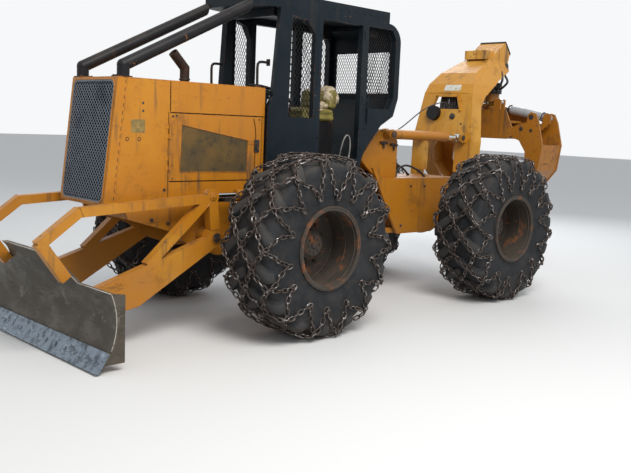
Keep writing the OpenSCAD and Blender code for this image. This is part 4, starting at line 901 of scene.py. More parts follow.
def expanded_panel(batch, outline, place, wide=0.034, tall=0.064):
    """A panel of diamonds inside an outline; place turns panel coordinates into a point."""
    (left, foot), (right, head) = [[pick(p[i] for p in outline) for i in (0, 1)] for pick in (min, max)]
    steps = int((right - left + (head - foot) * wide / tall) / wide) + 2
    for lean, first in ((-1, left), (1, right)):
        for k in range(steps):
            start, along = (first - lean * k * wide, foot), (lean * wide / 2, tall / 2)
            reach = clipped(outline, start, along)
            if reach:
                ends = [place(start[0] + along[0] * t, start[1] + along[1] * t) for t in reach]
                batch.bar(ends, 0.0026, sides=4)
    batch.bar([place(x, z) for x, z in outline], 0.0075, sides=6, closed=True)


rear_window = [(-1.200, 1.995), (-1.200, 2.795), (-1.548, 2.795), (-1.619, 2.694), (-1.619, 2.120), (-1.552, 1.995)]
front_window = [(-0.228, 1.874), (-0.228, 2.794), (-0.494, 2.794), (-0.494, 1.874)]
back_window = [(-0.388, 2.165), (0.388, 2.165), (0.388, 2.595), (-0.388, 2.595)]
wall_turn = math.atan2(0.110, 0.5097)
wall_way = (math.cos(wall_turn), math.sin(wall_turn))
guard = Batch()
for hand in (-1, 1):
    def on_slanting_wall(x, z, inward=-0.0665):
        along = (x + 0.530) / wall_way[0]
        return at(-0.530 + along * wall_way[0] + inward * wall_way[1],
                  hand * (0.510 - along * wall_way[1] + inward * wall_way[0]), z)

    expanded_panel(guard, rear_window, lambda x, z: at(x, hand * 0.4435, z))
    expanded_panel(guard, front_window, on_slanting_wall)
expanded_panel(guard, back_window, lambda y, z: at(-1.674, y, z))
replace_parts(guard.piece("expanded_guards", guard_steel, "front_frame", "black_paint"), "window_guards")

# %% [markdown]
# The nose is a perforated screen over the coarse packed grille: staggered rows of small
# round holes in dark blue-grey steel, from near one edge of the nose to the other. It lies
# on the nose and leans as it does. Behind its border is a dark gasket, and a bent yellow
# lip runs round it. The radiator's core with its upright fins shows through the holes.

# %% Places on the nose
nose_lean = math.atan2(0.118, 1.018)
nose_turn = Matrix.Rotation(-nose_lean, 3, "Y")
screen_low, screen_high, screen_half, screen_corner = -0.078, 0.893, 0.322, 0.055
hole_pitch, row_pitch, open_share = 0.0400, 0.0212, 0.76


def on_nose(across, up, out):
    """Across and up from the middle of the opening's foot, and out from the sheet."""
    return at(1.5928 - up * math.sin(nose_lean) + out * math.cos(nose_lean), across,
              1.217 + up * math.cos(nose_lean) + out * math.sin(nose_lean))


def in_screen(across, up, inset):
    """Whether a place lies inside the screen's outline with its round corners."""
    dx = max(0.0, abs(across) - (screen_half - screen_corner))
    dz = max(0.0, screen_low + screen_corner - up, up - (screen_high - screen_corner))
    return math.hypot(dx, dz) <= screen_corner - inset


def round_outline(inset, out, low=screen_low, high=screen_high, half=screen_half, steps=9):
    """A round-cornered outline on the nose, pulled in by an inset."""
    points, radius = [], screen_corner - inset
    for turn, (sx, sz) in enumerate(((1, 1), (-1, 1), (-1, -1), (1, -1))):
        middle = (sx * (half - screen_corner), high - screen_corner if sz > 0 else low + screen_corner)
        points += [on_nose(middle[0] + radius * math.cos(t), middle[1] + radius * math.sin(t), out)
                   for t in (math.pi / 2 * (turn + n / steps) for n in range(steps + 1))]
    return points


def ring_plate(batch, outer, inner, low, high):
    """A flat ring between two outlines, each given as what round_outline takes."""
    loops = [round_outline(outline[0], out, *outline[1:])
             for outline, out in ((outer, low), (outer, high), (inner, high), (inner, low))]
    batch.add([p for loop in loops for p in loop], skin(4, len(loops[0]), closed=True, flip=True))


# %% Grille screen
screen, gasket, lip, core = Batch(), Batch(), Batch(), Batch()
diamond = [(0.5, 0.0), (0.25, 0.5), (0.0, 1.0), (-0.25, 0.5), (-0.5, 0.0), (-0.25, -0.5), (0.0, -1.0), (0.25, -0.5)]
for j in range(1, int((screen_high - screen_low) / row_pitch)):
    up = screen_low + j * row_pitch + 0.005
    for k in range(-9, 10):
        across = (k + 0.5 * (j % 2)) * hole_pitch
        if in_screen(across, up, 0.016):
            points = [on_nose(across + a * hole_pitch * share, up + b * row_pitch * share, out)
                      for share, out in ((1, 0.0034), (open_share, 0.0034), (open_share, 0.0012))
                      for a, b in diamond]
            screen.add(points, skin(3, len(diamond)))
ring_plate(screen, (0.0,), (0.0135,), 0.0012, 0.0042)
ring_plate(gasket, (0.001,), (0.0, 0.001, 0.857, 0.2845), 0.0002, 0.0011)
lip.bar(round_outline(-0.005, 0.0035), 0.0050, closed=True)
core.box(on_nose(0, 0.428, -0.046), (0.006, 0.295, 0.435), nose_turn)
for k in range(58):
    core.box(on_nose(-0.285 + k * 0.010, 0.428, -0.039), (0.0016, 0.0012, 0.428), nose_turn)
core.piece("radiator_core", gasket_black, "front_frame", "black_paint")
screen.piece("grille_screen", grille_steel, "front_frame", "black_paint")
gasket.piece("grille_gasket", gasket_black, "front_frame", "black_paint")
lip.piece("grille_lip", yellow_hood, "front_frame", "yellow_paint", smooth=True)

# %% [markdown]
# The hood is made of overlapping sheets. Thin plates with small gaps between them give
# the dark joints and the shadow under the upper panel, which carries no lettering here.
# Slots beside the nose, plugs and old bolt holes are small forms in one dark finish. A
# faded patch and two rings of rust are left where something was once fixed.

# %% Sheets and marks on the hood
def prism(batch, outline, low, high):
    """A plate from an outline of XZ places, between two distances from the middle plane."""
    flip = (signed_area(outline) > 0) == (high > low)
    batch.add([at(x, y, z) for y in (low, high) for x, z in outline], skin(2, len(outline), caps=True, flip=flip))


plugs = ((1.260, 1.934, 0.011), (1.259, 1.872, 0.011), (1.047, 1.232, 0.014), (0.972, 1.838, 0.009),
         (0.935, 1.846, 0.009), (1.180, 1.140, 0.010))
seam_top, seam_foot = Vector((1.414, 2.131)), Vector((1.525, 1.125))
sheets, marks, patch, rings = Batch(), Batch(), Batch(), Batch()
for hand in (-1, 1):
    face = hand * 0.3575
    prism(sheets, [(-0.018, 1.873), (0.996, 1.873), (0.996, 2.124), (-0.018, 2.124)], face, hand * 0.3625)
    prism(sheets, [(1.003, 1.122), (1.512, 1.122), (1.403, 2.124), (1.003, 2.124)], face, hand * 0.3605)
    prism(patch, [(1.240, 1.697), (1.366, 1.699), (1.368, 1.801), (1.239, 1.804)], hand * 0.3600, hand * 0.3610)
    for k in range(16):
        slot = seam_top.lerp(seam_foot, (k + 0.6) / 16.4)
        marks.box(at(slot.x - 0.001, hand * 0.3578, slot.y), (0.003, 0.0008, 0.016), nose_turn)
    for x, z, radius in plugs:
        marks.studs(hand, [(x, 0.3600, z)], radius, 0.0022, 14)
    for x, z in ((1.402, 1.646), (1.292, 1.647)):
        rings.ring(at(x, hand * 0.3608, z), (0.014, 0, 0), (0, 0, 0.014), 0.0028, 16)
soften(sheets.piece("hood_sheets", yellow_hood, "front_frame", "yellow_paint"))
marks.piece("hood_slots_and_plugs", dark_fitting, "front_frame", "black_paint")
patch.piece("faded_patches", olive, "front_frame", "yellow_paint")
rings.piece("rusty_rings", rust, "front_frame", "rusty_steel")

# %% Dark joints between the sheets
joints = (([(0.9995, 1.880), (0.9995, 2.121)], 0.3582, 0.0033),
          ([(1.0165, 1.130), (1.0165, 1.872)], 0.3610, 0.0024),
          ([(0.992, 1.8708), (0.300, 1.8700), (-0.014, 1.8708)], 0.3585, 0.0036),
          ([(0.996, 1.2995), (0.420, 1.2993), (0.010, 1.2995)], 0.3578, 0.0030))
seams = Batch()
for hand in (-1, 1):
    for line, y, thick in joints:
        seams.bar([at(x, hand * y, z) for x, z in line], thick, sides=4)
seams.piece("hood_seams", gasket_black, "front_frame", "black_paint")

# %% [markdown]
# Each engine door has a screened opening, a trapezoid that drops to the rear. The screen
# is a grimy perforated sheet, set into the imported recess. A latch with a bent handle, a
# thin hanging cable, two bolted corners and a pressed rim complete the door. They ride on
# the door, so they swing with it.

# %% Engine doors
opening = [(0.876, 1.7655), (0.168, 1.6485), (0.173, 1.376), (0.887, 1.383)]
rim_line = [(0.884, 1.7735), (0.160, 1.6555), (0.165, 1.3685), (0.895, 1.3755)]
cable_line = [(0.108, 1.848), (0.090, 1.790), (0.078, 1.700), (0.080, 1.560), (0.086, 1.440), (0.078, 1.330)]
latch_handle = [(0.080, 0.370, 1.628), (0.081, 0.381, 1.622), (0.078, 0.383, 1.590), (0.068, 0.381, 1.574),
                (0.056, 0.376, 1.582)]
door_bolts = [(0.968, 1.842), (0.968, 1.325), (0.040, 1.842), (0.040, 1.325), (0.068, 1.655), (0.068, 1.557)]
for side, hand in hands.items():
    body = f"engine_door_{side}"
    panel, rim, latch, cable = Batch(), Batch(), Batch(), Batch()
    prism(panel, opening, hand * 0.3532, hand * 0.3548)
    rim.bar([at(x, hand * 0.3580, z) for x, z in rim_line], 0.0035, sides=6, closed=True)
    cable.bar([at(x, hand * 0.3618, z) for x, z in cable_line], 0.0028, sides=6)
    latch.box(at(0.067, hand * 0.3625, 1.606), (0.028, 0.005, 0.056))
    latch.box(at(0.067, hand * 0.3685, 1.632), (0.017, 0.004, 0.017))
    latch.bar(on_side(hand, latch_handle), 0.0045)
    latch.studs(hand, [(x, 0.358, z) for x, z in door_bolts], 0.008, 0.005)
    panel.piece(f"door_screen_{side}", door_screen, body, "yellow_paint")
    rim.piece(f"door_rim_{side}", yellow_hood, body, "yellow_paint", smooth=True)
    cable.piece(f"door_cable_{side}", gasket_black, body, "black_paint")
    soften(latch.piece(f"door_latch_{side}", dark_fitting, body, "black_paint"), 0.001)

# %% [markdown]
# A bent grab handle stands behind the hood on both sides, bolted to its top. The branch
# guards stand on bolted feet and end in flanges at the roof, and the exhaust has a clamp.

# %% Handles, feet and clamp
grab_handle = [(0.060, 0.338, 2.124), (0.064, 0.338, 2.200), (0.066, 0.338, 2.300), (0.062, 0.338, 2.335),
               (0.046, 0.339, 2.352), (0.020, 0.340, 2.357), (-0.050, 0.342, 2.357)]
bolts_on_top = [(0.082, 0.338, 2.1370, 0.008, 0.006), (0.038, 0.338, 2.1370, 0.008, 0.006)]
bolts_on_top += [(1.418 + dx, y, 2.139, 0.010, 0.008) for dx in (-0.047, 0.047) for y in (0.296, 0.256)]
handles, clamp = Batch(), Batch()
for hand in (-1, 1):
    handles.bar(on_side(hand, grab_handle), 0.0125, sides=10)
    for x, y, z, *half in ((0.060, 0.338, 2.1335, 0.030, 0.018, 0.004), (-0.056, 0.343, 2.357, 0.006, 0.020, 0.030),
                           (1.418, 0.300, 2.1345, 0.062, 0.056, 0.0045)):
        handles.box(at(x, hand * y, z), half)
    for x, y, z, *size in bolts_on_top:
        handles.bolt(at(x, hand * y, z), (0, 0, 1), *size)
handles.piece("handles_and_feet", black_paint, "front_frame", "black_paint")
clamp.ring(at(0.612, 0, 2.165), (0.0455, 0, 0), (0, 0.0455, 0), 0.006, 20)
clamp.box(at(0.612, 0.058, 2.165), (0.006, 0.012, 0.010))
clamp.bolt(at(0.612, 0.060, 2.173), (0, 0, 1), 0.006, 0.005)
clamp.piece("exhaust_clamp", dark_fitting, "front_frame", "rusty_steel")
print("front trim is in place")

# %% Piping and torn foam
piping, torn = Batch(), Batch()
for up, spread in ((1.9480, 0.230), (1.8790, 0.228)):
    loop = []
    for a in circle(48):
        reach = (abs(math.cos(a)) ** 5 + abs(math.sin(a)) ** 5) ** (-1 / 5) * spread
        loop.append(at(-0.845 + reach * math.cos(a), reach * math.sin(a), up + 0.0015 * math.sin(5 * a)))
    piping.bar(loop, 0.0045, sides=6, closed=True)
piping.piece("seat_piping", vinyl, "front_frame", "vinyl", smooth=True)


def foam_lump(batch, centre, half, seed, rings=9, segments=14):
    """A torn lump: a flattened ball whose surface is broken up by noise."""
    points = []
    for r in range(rings):
        lift = math.pi * (r + 0.5) / rings
        for way in round_points(Vector((0, 0, math.cos(lift))), (math.sin(lift), 0, 0), (0, math.sin(lift), 0),
                                segments):
            size = 1 + 0.42 * noise.noise(way * 2.6 + Vector((seed, 0, 0))) + 0.2 * noise.noise(way * 7.0)
            points.append(centre + Vector([w * h * size for w, h in zip(way, half)]))
    batch.add(points, skin(rings, segments, caps=True, flip=True))


for place, half, seed in (
        ((-1.062, 0.090, 2.166), (0.054, 0.128, 0.040), 8.2), ((-1.058, -0.110, 2.158), (0.044, 0.095, 0.030), 9.9),
        ((-1.012, 0.165, 2.105), (0.046, 0.060, 0.052), 3.3), ((-1.104, 0.150, 2.090), (0.040, 0.075, 0.066), 5.7),
        ((-0.965, 0.115, 2.010), (0.070, 0.085, 0.040), 1.0), ((-0.985, 0.020, 2.050), (0.040, 0.060, 0.055), 2.3),
        ((-0.730, 0.150, 1.958), (0.080, 0.062, 0.016), 3.7), ((-0.650, -0.060, 1.950), (0.035, 0.090, 0.020), 5.1),
        ((-0.860, 0.190, 1.962), (0.055, 0.038, 0.014), 6.6)):
    foam_lump(torn, at(*place), half, seed)
torn.piece("torn_seat_foam", foam, "front_frame", "vinyl", smooth=True)

# %% [markdown]
# Each rim is a deep dish. Bolted joints tell its size: a circle of wheel nuts on the disc,
# smaller bolts round the planetary hub's cover and a filler plug. Welded rings and a gutter
# break the plain barrel, and a valve stem stands at its side. All of it turns with the wheel.

# %% Wheel fittings
# Distance out from the middle plane, radius of the circle, count, and each bolt's size
bolt_circles = ((-0.060, 0.188, 10, 0.019, 0.024), (-0.060, 0.188, 10, 0.009, 0.036, 8),
                (0.050, 0.066, 8, 0.011, 0.010), (0.050, 0.0, 1, 0.030, 0.012, 14))
welded_rings = ((0.226, 0.3235, 0.007), (0.110, 0.3235, 0.005), (-0.057, 0.319, 0.008), (-0.057, 0.134, 0.007),
                (0.262, 0.3475, 0.005))
valve_stem = ((0.285, -0.060, 0.030), (0.288, -0.035, 0.030), (0.293, -0.008, 0.031))
for (end, side), centre in wheels.items():
    hand, nuts, rings = hands[side], Batch(), Batch()
    for out, radius, count, *size in bolt_circles:
        middle = centre + Vector((0, hand * out, 0))
        for place in round_points(middle, (0, 0, radius), (radius, 0, 0), count):
            nuts.bolt(place, (0, hand, 0), *size)
    nuts.bar([centre + Vector((x, hand * y, z)) for x, y, z in valve_stem], 0.006)
    nuts.piece(f"wheel_nuts_{end}_{side}", rim_finish, f"wheel_{end}_{side}", "rim_paint")
    for out, radius, thick in welded_rings:
        rings.ring(centre + Vector((0, hand * out, 0)), (0, 0, radius), (radius, 0, 0), thick, 64)
    rings.piece(f"rim_rings_{end}_{side}", rim_finish, f"wheel_{end}_{side}", "rim_paint", smooth=True)

# %% [markdown]
# The blade wears at its lower edge, so the edge is a separate plate held by a row of
# plough bolts. Big pins carry the push arms; their heads are held by small bolts, and
# beads of weld show where bars meet.

# %% Blade and push arm fittings
def pin_head(batch, hand, place, radius, height, apart, small):
    """The round head of a pin, with two small bolts on it."""
    x, y, z = place
    batch.studs(hand, [place], radius, height, 20)
    batch.studs(hand, [(x - apart, y + 0.008, z), (x + apart, y + 0.008, z)], small, 0.006)


edge_bolts, arms, pins, frame_bolts = Batch(), Batch(), Batch(), Batch()
for k in range(14):
    edge_bolts.bolt(at(2.0165, -0.975 + k * 0.150, 0.085), (0.849, 0, 0.529), 0.017, 0.007, 12)
edge_bolts.piece("plough_bolts", edge_steel, "blade_frame", "edge_steel")
welds = (((0.700, 1.128), (0.742, 1.088)), ((1.872, 1.064), (1.905, 1.140)), ((0.598, 0.902), (0.690, 0.902)),
         ((1.262, 0.630), (1.318, 0.600)))
for hand in (-1, 1):
    # The arms' lower pins belong to the front frame, the upper ones to the arms
    pins.studs(hand, [(0.637, 0.552, 0.830)], 0.040, 0.006, 20)
    pins.box(at(0.637, hand * 0.5595, 0.830), (0.030, 0.0035, 0.014))
    pins.studs(hand, [(0.617, 0.563, 0.830), (0.657, 0.563, 0.830)], 0.008, 0.006)
    arms.studs(hand, [(0.674, 0.538, 1.185)], 0.036, 0.010, 20)
    arms.studs(hand, [(0.674, 0.548, 1.185)], 0.016, 0.010, 8)
    arms.bolt(at(0.674, hand * 0.462, 1.185), (0, -hand, 0), 0.030, 0.008, 20)
    for weld in welds:
        arms.bar([at(x, hand * 0.5385, z) for x, z in weld], 0.005, sides=6)
    frame_bolts.studs(hand, [(1.160, 0.350, 0.985), (1.000, 0.350, 0.950), (0.830, 0.350, 0.905)], 0.017, 0.014)
arms.piece("push_arm_caps", yellow_blade, "blade_frame", "yellow_paint")
pins.piece("push_arm_pin_keepers", dark_fitting, "front_frame", "black_paint")
frame_bolts.piece("frame_bolts", dark_fitting, "front_frame", "black_paint")

# %% [markdown]
# The canopy is bolted and welded from plate. Rows of bolts follow its lower edge, its
# posts and the roof's edge, and the side guards have hinge plates. The lamps look to the
# rear and get domed lenses in rings. A grey rod runs beside the left rear post.

# %% Canopy fittings
canopy_bolts = ((-0.560, 1.460), (-0.700, 1.455), (-0.850, 1.455), (-1.000, 1.455), (-1.110, 1.460), (-1.205, 2.080),
                (-1.205, 1.800), (-1.160, 1.600), (-0.548, 1.700), (-0.548, 1.950), (-0.548, 2.300), (-0.548, 2.650))
lens_rings = ((0.0, 0.052, 0.046), (-0.004, 0.045, 0.040), (-0.007, 0.028, 0.025), (-0.008, 0.010, 0.009))
fittings, lenses = Batch(), Batch()
for hand in (-1, 1):
    fittings.studs(hand, [(x, 0.5100, z) for x, z in canopy_bolts], 0.011, 0.008)
    fittings.studs(hand, [(-0.600 - k * 0.105, 0.5100, 2.905) for k in range(9)], 0.009, 0.006)
    for z in (2.080, 2.700):
        fittings.box(at(-1.172, hand * 0.5115, z), (0.026, 0.003, 0.040))
    lamp = at(-1.4450, hand * 0.330, 2.782)
    fittings.ring(lamp - Vector((0.002, 0, 0)), (0, 0.056, 0), (0, 0, 0.050), 0.006, 24)
    lenses.add([p for dx, wide, tall in lens_rings
                for p in round_points(lamp + Vector((dx, 0, 0)), (0, wide, 0), (0, 0, tall), 24)],
               skin(len(lens_rings), 24, caps=True, flip=True))
fittings.bar([at(-1.226, 0.520, 1.845), at(-1.224, 0.520, 1.950), at(-1.222, 0.520, 2.120)], 0.007)
fittings.piece("canopy_fittings", canopy, "front_frame", "cab_paint")
lenses.piece("lamp_lenses", lens_glass, "front_frame", "black_paint", smooth=True)

# %% [markdown]
# In the cab three levers get round knobs, and the instrument panel has rings round its
# dials. Two pedals stand on short bars in front of the seat.

# %% Knobs, dials and pedals
knob_rings = ((0.0, 0.010), (0.010, 0.018), (0.024, 0.021), (0.038, 0.016), (0.046, 0.006))  # rise and radius
panel_turn, pedal_turn = [Matrix.Rotation(math.radians(turn), 3, "Y") for turn in (-14, 30)]
knobs = Batch()
for x in (-0.410, -0.360, -0.310):
    knobs.add([p for rise, radius in knob_rings
               for p in round_points(at(x - 0.1 * rise, 0.270, 2.012 + rise), (radius, 0, 0), (0, radius, 0), 14)],
              skin(len(knob_rings), 14, caps=True))
knobs.box(at(-0.088, 0, 2.065), (0.028, 0.215, 0.055), panel_turn)
for y in (-0.130, 0.000, 0.130):
    knobs.ring(at(-0.119, y, 2.068), (0, 0.034, 0), (0, 0, 0.034), 0.004, 18)
for y in (0.150, -0.150):
    knobs.box(at(-0.190, y, 1.478), (0.045, 0.036, 0.005), pedal_turn)
    knobs.bar([at(-0.180, y, 1.470), at(-0.120, y, 1.428)], 0.009, sides=6)
knobs.piece("cab_controls_trim", dark_fitting, "front_frame", "black_paint")

# %% [markdown]
# Hoses are bars of rubber that follow smooth curves, and most have a fitting at each end.
# The two pieces that run between moving frames are given no body, and their places are baked into the frame. The
# bundle over the steering joint stays between the pins' fork and the steering cylinders, which swing close under it.

# %% Hose maker
def smooth_line(points, steps=8):
    """A Catmull-Rom curve through the points."""
    line = []
    for p0, p1, p2, p3 in zip([points[0]] + points, points, points[1:], points[2:] + [points[-1]]):
        for t in (k / steps for k in range(steps)):
            line.append(0.5 * (2 * p1 + (p2 - p0) * t + (2 * p0 - 5 * p1 + 4 * p2 - p3) * t * t
                               + (3 * p1 - 3 * p2 + p3 - p0) * t ** 3))
    return line + [points[-1]]


def hose(batch, places, radius, ends=True, hand=1):
    line = smooth_line(on_side(hand, places))
    batch.bar(line, radius, sides=10)
    if ends:
        for tip, inner in ((line[0], line[3]), (line[-1], line[-4])):
            batch.bar([tip, tip.lerp(inner, 0.9)], radius * 1.35, sides=6)


# %% Hoses over the joints
over_joint, to_arch = Batch(), Batch()
for y, z in ((-0.044, 0.989), (-0.022, 1.001), (0.000, 0.991), (0.022, 1.003), (0.044, 0.993)):
    hose(over_joint, [(-1.100, y, z), (-1.200, y * 1.1, z + 0.004), (-1.420, y * 1.2, z),
                      (-1.700, y * 1.1, z + 0.004), (-1.900, y, z + 0.016), (-2.080, y, z + 0.018)], 0.011)
hose(to_arch, [(-1.960, 0.205, 1.760), (-2.151, 0.200, 1.832), (-2.526, 0.195, 2.040), (-2.860, 0.170, 2.130),
               (-3.080, 0.120, 2.120), (-3.190, 0.090, 2.090)], 0.0065, ends=False)
bundle = over_joint.piece("steering_joint_hoses", hose_rubber, None, "tyre", smooth=True)
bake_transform(bundle)
thin_line = to_arch.piece("line_to_arch", hose_rubber, None, "tyre", smooth=True)
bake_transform(thin_line)

# %% Hoses on one body
# Round the rotator, from the hanger's block to its housing, in wide loops
loops = ((1, 0.270, 0.150, 2.560, 2.345, 0.015), (1, 0.200, 0.180, 2.530, 2.335, 0.014),
         (1, 0.300, 0.080, 2.510, 2.360, 0.014), (1, 0.150, 0.205, 2.575, 2.330, 0.013),
         (-1, 0.230, 0.160, 2.540, 2.340, 0.014), (-1, 0.150, 0.195, 2.500, 2.345, 0.013),
         (1, 0.090, 0.140, 2.480, 2.350, 0.013), (-1, 0.060, 0.170, 2.470, 2.355, 0.013))
rotator, up_arch, deck, door_loop = Batch(), Batch(), Batch(), Batch()
for hand, reach, ahead, top, low, thick in loops:
    hose(rotator, [(-4.105, 0.062, 2.565), (-4.090 + ahead * 0.3, 0.062 + reach * 0.35, 2.600),
                   (-4.090 + ahead * 0.8, reach * 0.85, top), (-4.090 + ahead, reach, (top + low) / 2),
                   (-4.090 + ahead * 0.8, reach * 0.7, low), (-4.080, 0.070 + reach * 0.25, low + 0.005),
                   (-4.090, 0.080, low + 0.020)], thick, hand=hand)
# On the arch a bundle runs up behind the opening and under the top plate
for k in range(8):
    y, sag = -0.126 + 0.036 * k, 0.020 * math.sin(2.4 * k)
    hose(up_arch, [(-3.330, y * 0.8, 1.760 + sag), (-3.300, y, 1.880), (-3.285 + sag * 0.5, y * 1.1, 2.020),
                   (-3.300 - sag * 0.5, y * 1.15, 2.160), (-3.345, y * 1.1, 2.290 + sag * 0.3),
                   (-3.450, y, 2.420), (-3.600, y * 0.8, 2.510), (-3.740, y * 0.7, 2.570)], 0.021)
for hand in (-1, 1):
    hose(deck, [(-2.000, 0.150, 1.270), (-2.000, 0.150, 1.420), (-1.960, 0.190, 1.600), (-1.900, 0.215, 1.700),
                (-1.860, 0.218, 1.735)], 0.010, hand=hand)
    hose(deck, [(-2.250, 0.060, 1.270), (-2.300, 0.060, 1.360), (-2.420, 0.080, 1.400), (-2.600, 0.110, 1.340),
                (-2.700, 0.120, 1.270)], 0.012, hand=hand)
# A thin pale hose loops in the cab's door
hose(door_loop, [(-1.075, 0.430, 1.500), (-1.078, 0.440, 1.600), (-1.065, 0.446, 1.690), (-1.030, 0.444, 1.730),
                 (-0.998, 0.430, 1.690), (-0.995, 0.400, 1.600), (-1.010, 0.360, 1.500)], 0.007)
rotator.piece("rotator_hoses", hose_rubber, "grapple_hanger", "tyre", smooth=True)
up_arch.piece("arch_hoses", hose_rubber, "arch", "tyre", smooth=True)
deck.piece("deck_hoses", hose_rubber, "rear_frame", "tyre", smooth=True)
door_loop.piece("cab_hose_loop", pale_hose, "front_frame", "black_paint", smooth=True)
print("hoses are in place")

# %% [markdown]
# On the rear frame the arch cylinders' pins have heads, the side plates carry pipe fittings, and the deck's bare
# edge shines where logs have rubbed it. A thin bright line of the same bare-steel finish runs up each end of the
# mouldboard's curved face and over the stepped top: a painted highlight.

# %% Rear frame fittings, a rubbed edge and a painted highlight
def on_board(across, z):
    """A point just in front of the curved face: an arc about a centre ahead of the blade."""
    return at(2.412 - math.sqrt(0.515 ** 2 - (z - 0.369) ** 2) + 0.0005, across, z)


side_bolts = ((-2.200, 1.190), (-2.450, 1.188), (-3.220, 1.180), (-3.240, 1.020), (-2.060, 0.760))
rear, deck_edge, board_edge = Batch(), Batch(), Batch()
for hand in (-1, 1):
    pin_head(rear, hand, (-1.825, 0.372, 1.752), 0.038, 0.008, 0.016, 0.007)
    pin_head(rear, hand, (-3.180, 0.452, 1.050), 0.044, 0.008, 0.020, 0.009)
    rear.studs(hand, [(-1.765, 0.250, 1.781)], 0.010, 0.009)
    rear.studs(hand, [(x, 0.330, z) for x, z in side_bolts], 0.014, 0.012)
    for x, z in ((-1.790, 1.655), (-1.960, 1.635)):
        rear.bar(on_side(hand, [(x - 0.055, 0.262, z), (x + 0.055, 0.262, z + 0.004)]), 0.014)
        rear.bar(on_side(hand, [(x, 0.262, z), (x - 0.004, 0.262, z - 0.060)]), 0.012)
        rear.box(at(x, hand * 0.256, z), (0.018, 0.006, 0.018))
    deck_edge.bar(on_side(hand, [(-1.900, 0.3260, 1.2745), (-2.500, 0.3260, 1.2755), (-3.050, 0.3260, 1.2710)]),
                  0.0045, sides=6)
    # A bright bar up each end of the mouldboard's face is a painted highlight.
    board_edge.bar([on_board(hand * 1.0605, 0.165 + 0.415 * k / 12) for k in range(13)], 0.0038, sides=6)
# The same painted highlight runs over the stepped top.
stepped_top = [(-1.060, 0.579)] + [(-0.580 + 0.280 * k / 6, 0.579 + 0.220 * k / 6) for k in range(7)]
stepped_top += [(-y, z) for y, z in reversed(stepped_top)]
board_edge.bar([on_board(y, z) for y, z in stepped_top], 0.0034, sides=6)
rear.piece("rear_frame_fittings", dark_fitting, "rear_frame", "black_paint")
deck_edge.piece("rubbed_deck_edge", rubbed_steel_and_highlight, "rear_frame", "worn_steel", smooth=True)
board_edge.piece("painted_board_highlight", rubbed_steel_and_highlight, "blade_frame", "worn_steel", smooth=True)

# %% [markdown]
# The arch has straps beside its opening, a blank place for a sign, a rubber strip at its
# tip, pin heads and a few bolts on its bent sides.

# %% Arch fittings
def on_arch(across, z, out=0.0):
    """A point on the lower front face of the arch, out from the plate."""
    share = (z - 1.700) / 0.562
    return at(-3.130 - 0.085 * share + out * 0.989, across, z + out * 0.150)


plate_normal = (0.989, 0, 0.15)
sign_corners = [(-0.070, 2.288), (0.165, 2.288), (0.165, 2.358), (-0.070, 2.358)]
tip_outline = [(-4.070, 2.922), (-4.084, 2.944), (-4.108, 2.934), (-4.216, 2.806), (-4.212, 2.782), (-4.194, 2.788),
               (-4.085, 2.918)]
straps, sign, tip_strip, bolts = Batch(), Batch(), Batch(), Batch()
for hand in (-1, 1):
    foot, head = on_arch(hand * 0.222, 2.045, 0.010), on_arch(hand * 0.150, 2.238, 0.010)
    straps.bar([foot, head], 0.019, sides=4, flat=0.6)
    for share in (0.08, 0.92):
        straps.bolt(foot.lerp(head, share) + Vector((0.008, 0, 0.001)), plate_normal, 0.010, 0.010)
    bolts.studs(hand, [(-3.060, 0.377, 1.738)], 0.030, 0.006, 18)
    for place in on_side(hand, [(-3.400, 0.300, 2.380), (-3.700, 0.188, 2.560), (-3.560, 0.226, 2.440)]):
        bolts.bolt(place, (0.15, hand, 0), 0.008, 0.005)
    bolts.studs(hand, [(-4.120, 0.195, 2.640)], 0.040, 0.010, 20)
straps.bar([on_arch(-0.300, 2.262, 0.001), on_arch(0.300, 2.262, 0.001)], 0.004, sides=6)
for across, z, out, *size in ((0.118, 1.985, 0.0, 0.036, 0.020, 18), (0.118, 1.985, 0.018, 0.024, 0.010, 12),
                              (0.255, 1.900, 0.0, 0.012, 0.008, 8)):
    bolts.bolt(on_arch(across, z, out), plate_normal, *size)
sign.add([at(-3.215 - 0.047 * (z - 2.262) / 0.108 + out * 0.917, y, z + out * 0.399)
          for out in (0.0006, 0.0028) for y, z in sign_corners], skin(2, 4, caps=True))
prism(tip_strip, tip_outline, -0.187, 0.187)
soften(straps.piece("arch_straps", sunlit_yellow_arch, "arch", "yellow_paint"), 0.001)
soften(tip_strip.piece("arch_tip_rubber", rubber, "arch", "tyre"), 0.006)
sign.piece("blank_sign", blank, "arch", "yellow_paint")
bolts.piece("arch_bolts", dark_fitting, "arch", "black_paint")

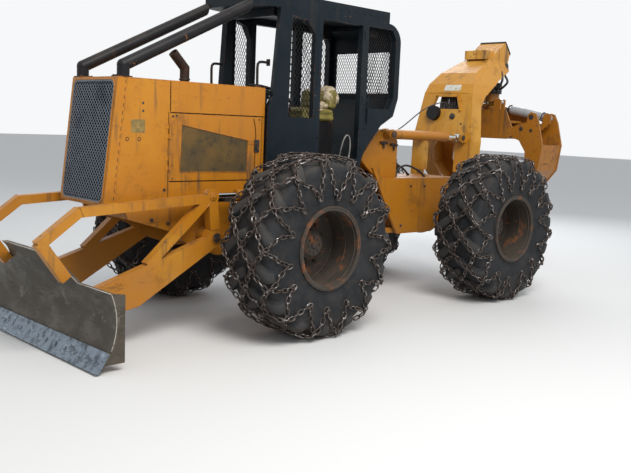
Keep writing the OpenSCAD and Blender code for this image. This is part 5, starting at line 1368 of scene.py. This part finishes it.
# %% [markdown]
# The grapple's pins have heads, its silver cylinders dark gland rings, and the tongs show
# dark round marks where pins go through. Each barrel runs from its pin on the horn
# towards the anchor on the other side, so its rings stand square to that line.

# %% Grapple fittings
grapple_x = -4.120
horn_pin, anchor = Vector((0.745, 2.015)), Vector((-0.255, 2.190))
way = (anchor - horn_pin).normalized()
head_pins = Batch()
for hand in (-1, 1):
    for face in (-1, 1):
        head_pins.bolt(at(grapple_x + face * 0.2535, hand * 0.430, 1.820), (face, 0, 0), 0.050, 0.008, 20)
for place in round_points(at(grapple_x, 0, 1.970), (0.086, 0, 0), (0, 0.086, 0), 10):
    head_pins.bolt(place, (0, 0, 1), 0.009, 0.008)
head_pins.piece("grapple_head_pins", dark_fitting, "grapple_head", "black_paint")
for side, hand in hands.items():
    tong_marks, rings = Batch(), Batch()
    for face in (-1, 1):
        for y, z, radius in ((0.620, 1.870, 0.026), (0.755, 1.854, 0.022), (0.745, 2.015, 0.034)):
            tong_marks.bolt(at(grapple_x + face * 0.233, hand * y, z), (face, 0, 0), radius, 0.004, 16)
    for share, radius, thick in ((0.075, 0.0555, 0.006), (0.555, 0.0555, 0.007), (0.570, 0.050, 0.007)):
        y, z = horn_pin + way * share
        rings.ring(at(grapple_x - hand * 0.172, hand * y, z), (0, -hand * way.y * radius, way.x * radius),
                   (radius, 0, 0), thick, 28)
    tong_marks.piece(f"tong_marks_{side}", dark_fitting, f"tong_{side}", "black_paint")
    rings.piece(f"tong_cylinder_rings_{side}", dark_fitting, f"tong_barrel_{side}", "black_paint", smooth=True)
print("rear trim is in place")

# %% [markdown]
# The floor is a plain pale plane that runs far past the machine, so that no edge of it
# shows. It is stage, not part of the object.

# %% Floor
floor_half = 60
floor_mesh = bpy.data.meshes.new("floor")
floor_mesh.from_pydata([(x * floor_half, y * floor_half, 0) for x, y in ((-1, -1), (1, -1), (1, 1), (-1, 1))], [],
                       [(0, 1, 2, 3)])
floor_mesh.materials.append(Finish("pale_floor", (0.70, 0.70, 0.69), 0.9).material)
floor = bpy.data.objects.new("floor", floor_mesh)
scene.collection.objects.link(floor)
print("floor:", 2 * floor_half, "m wide")
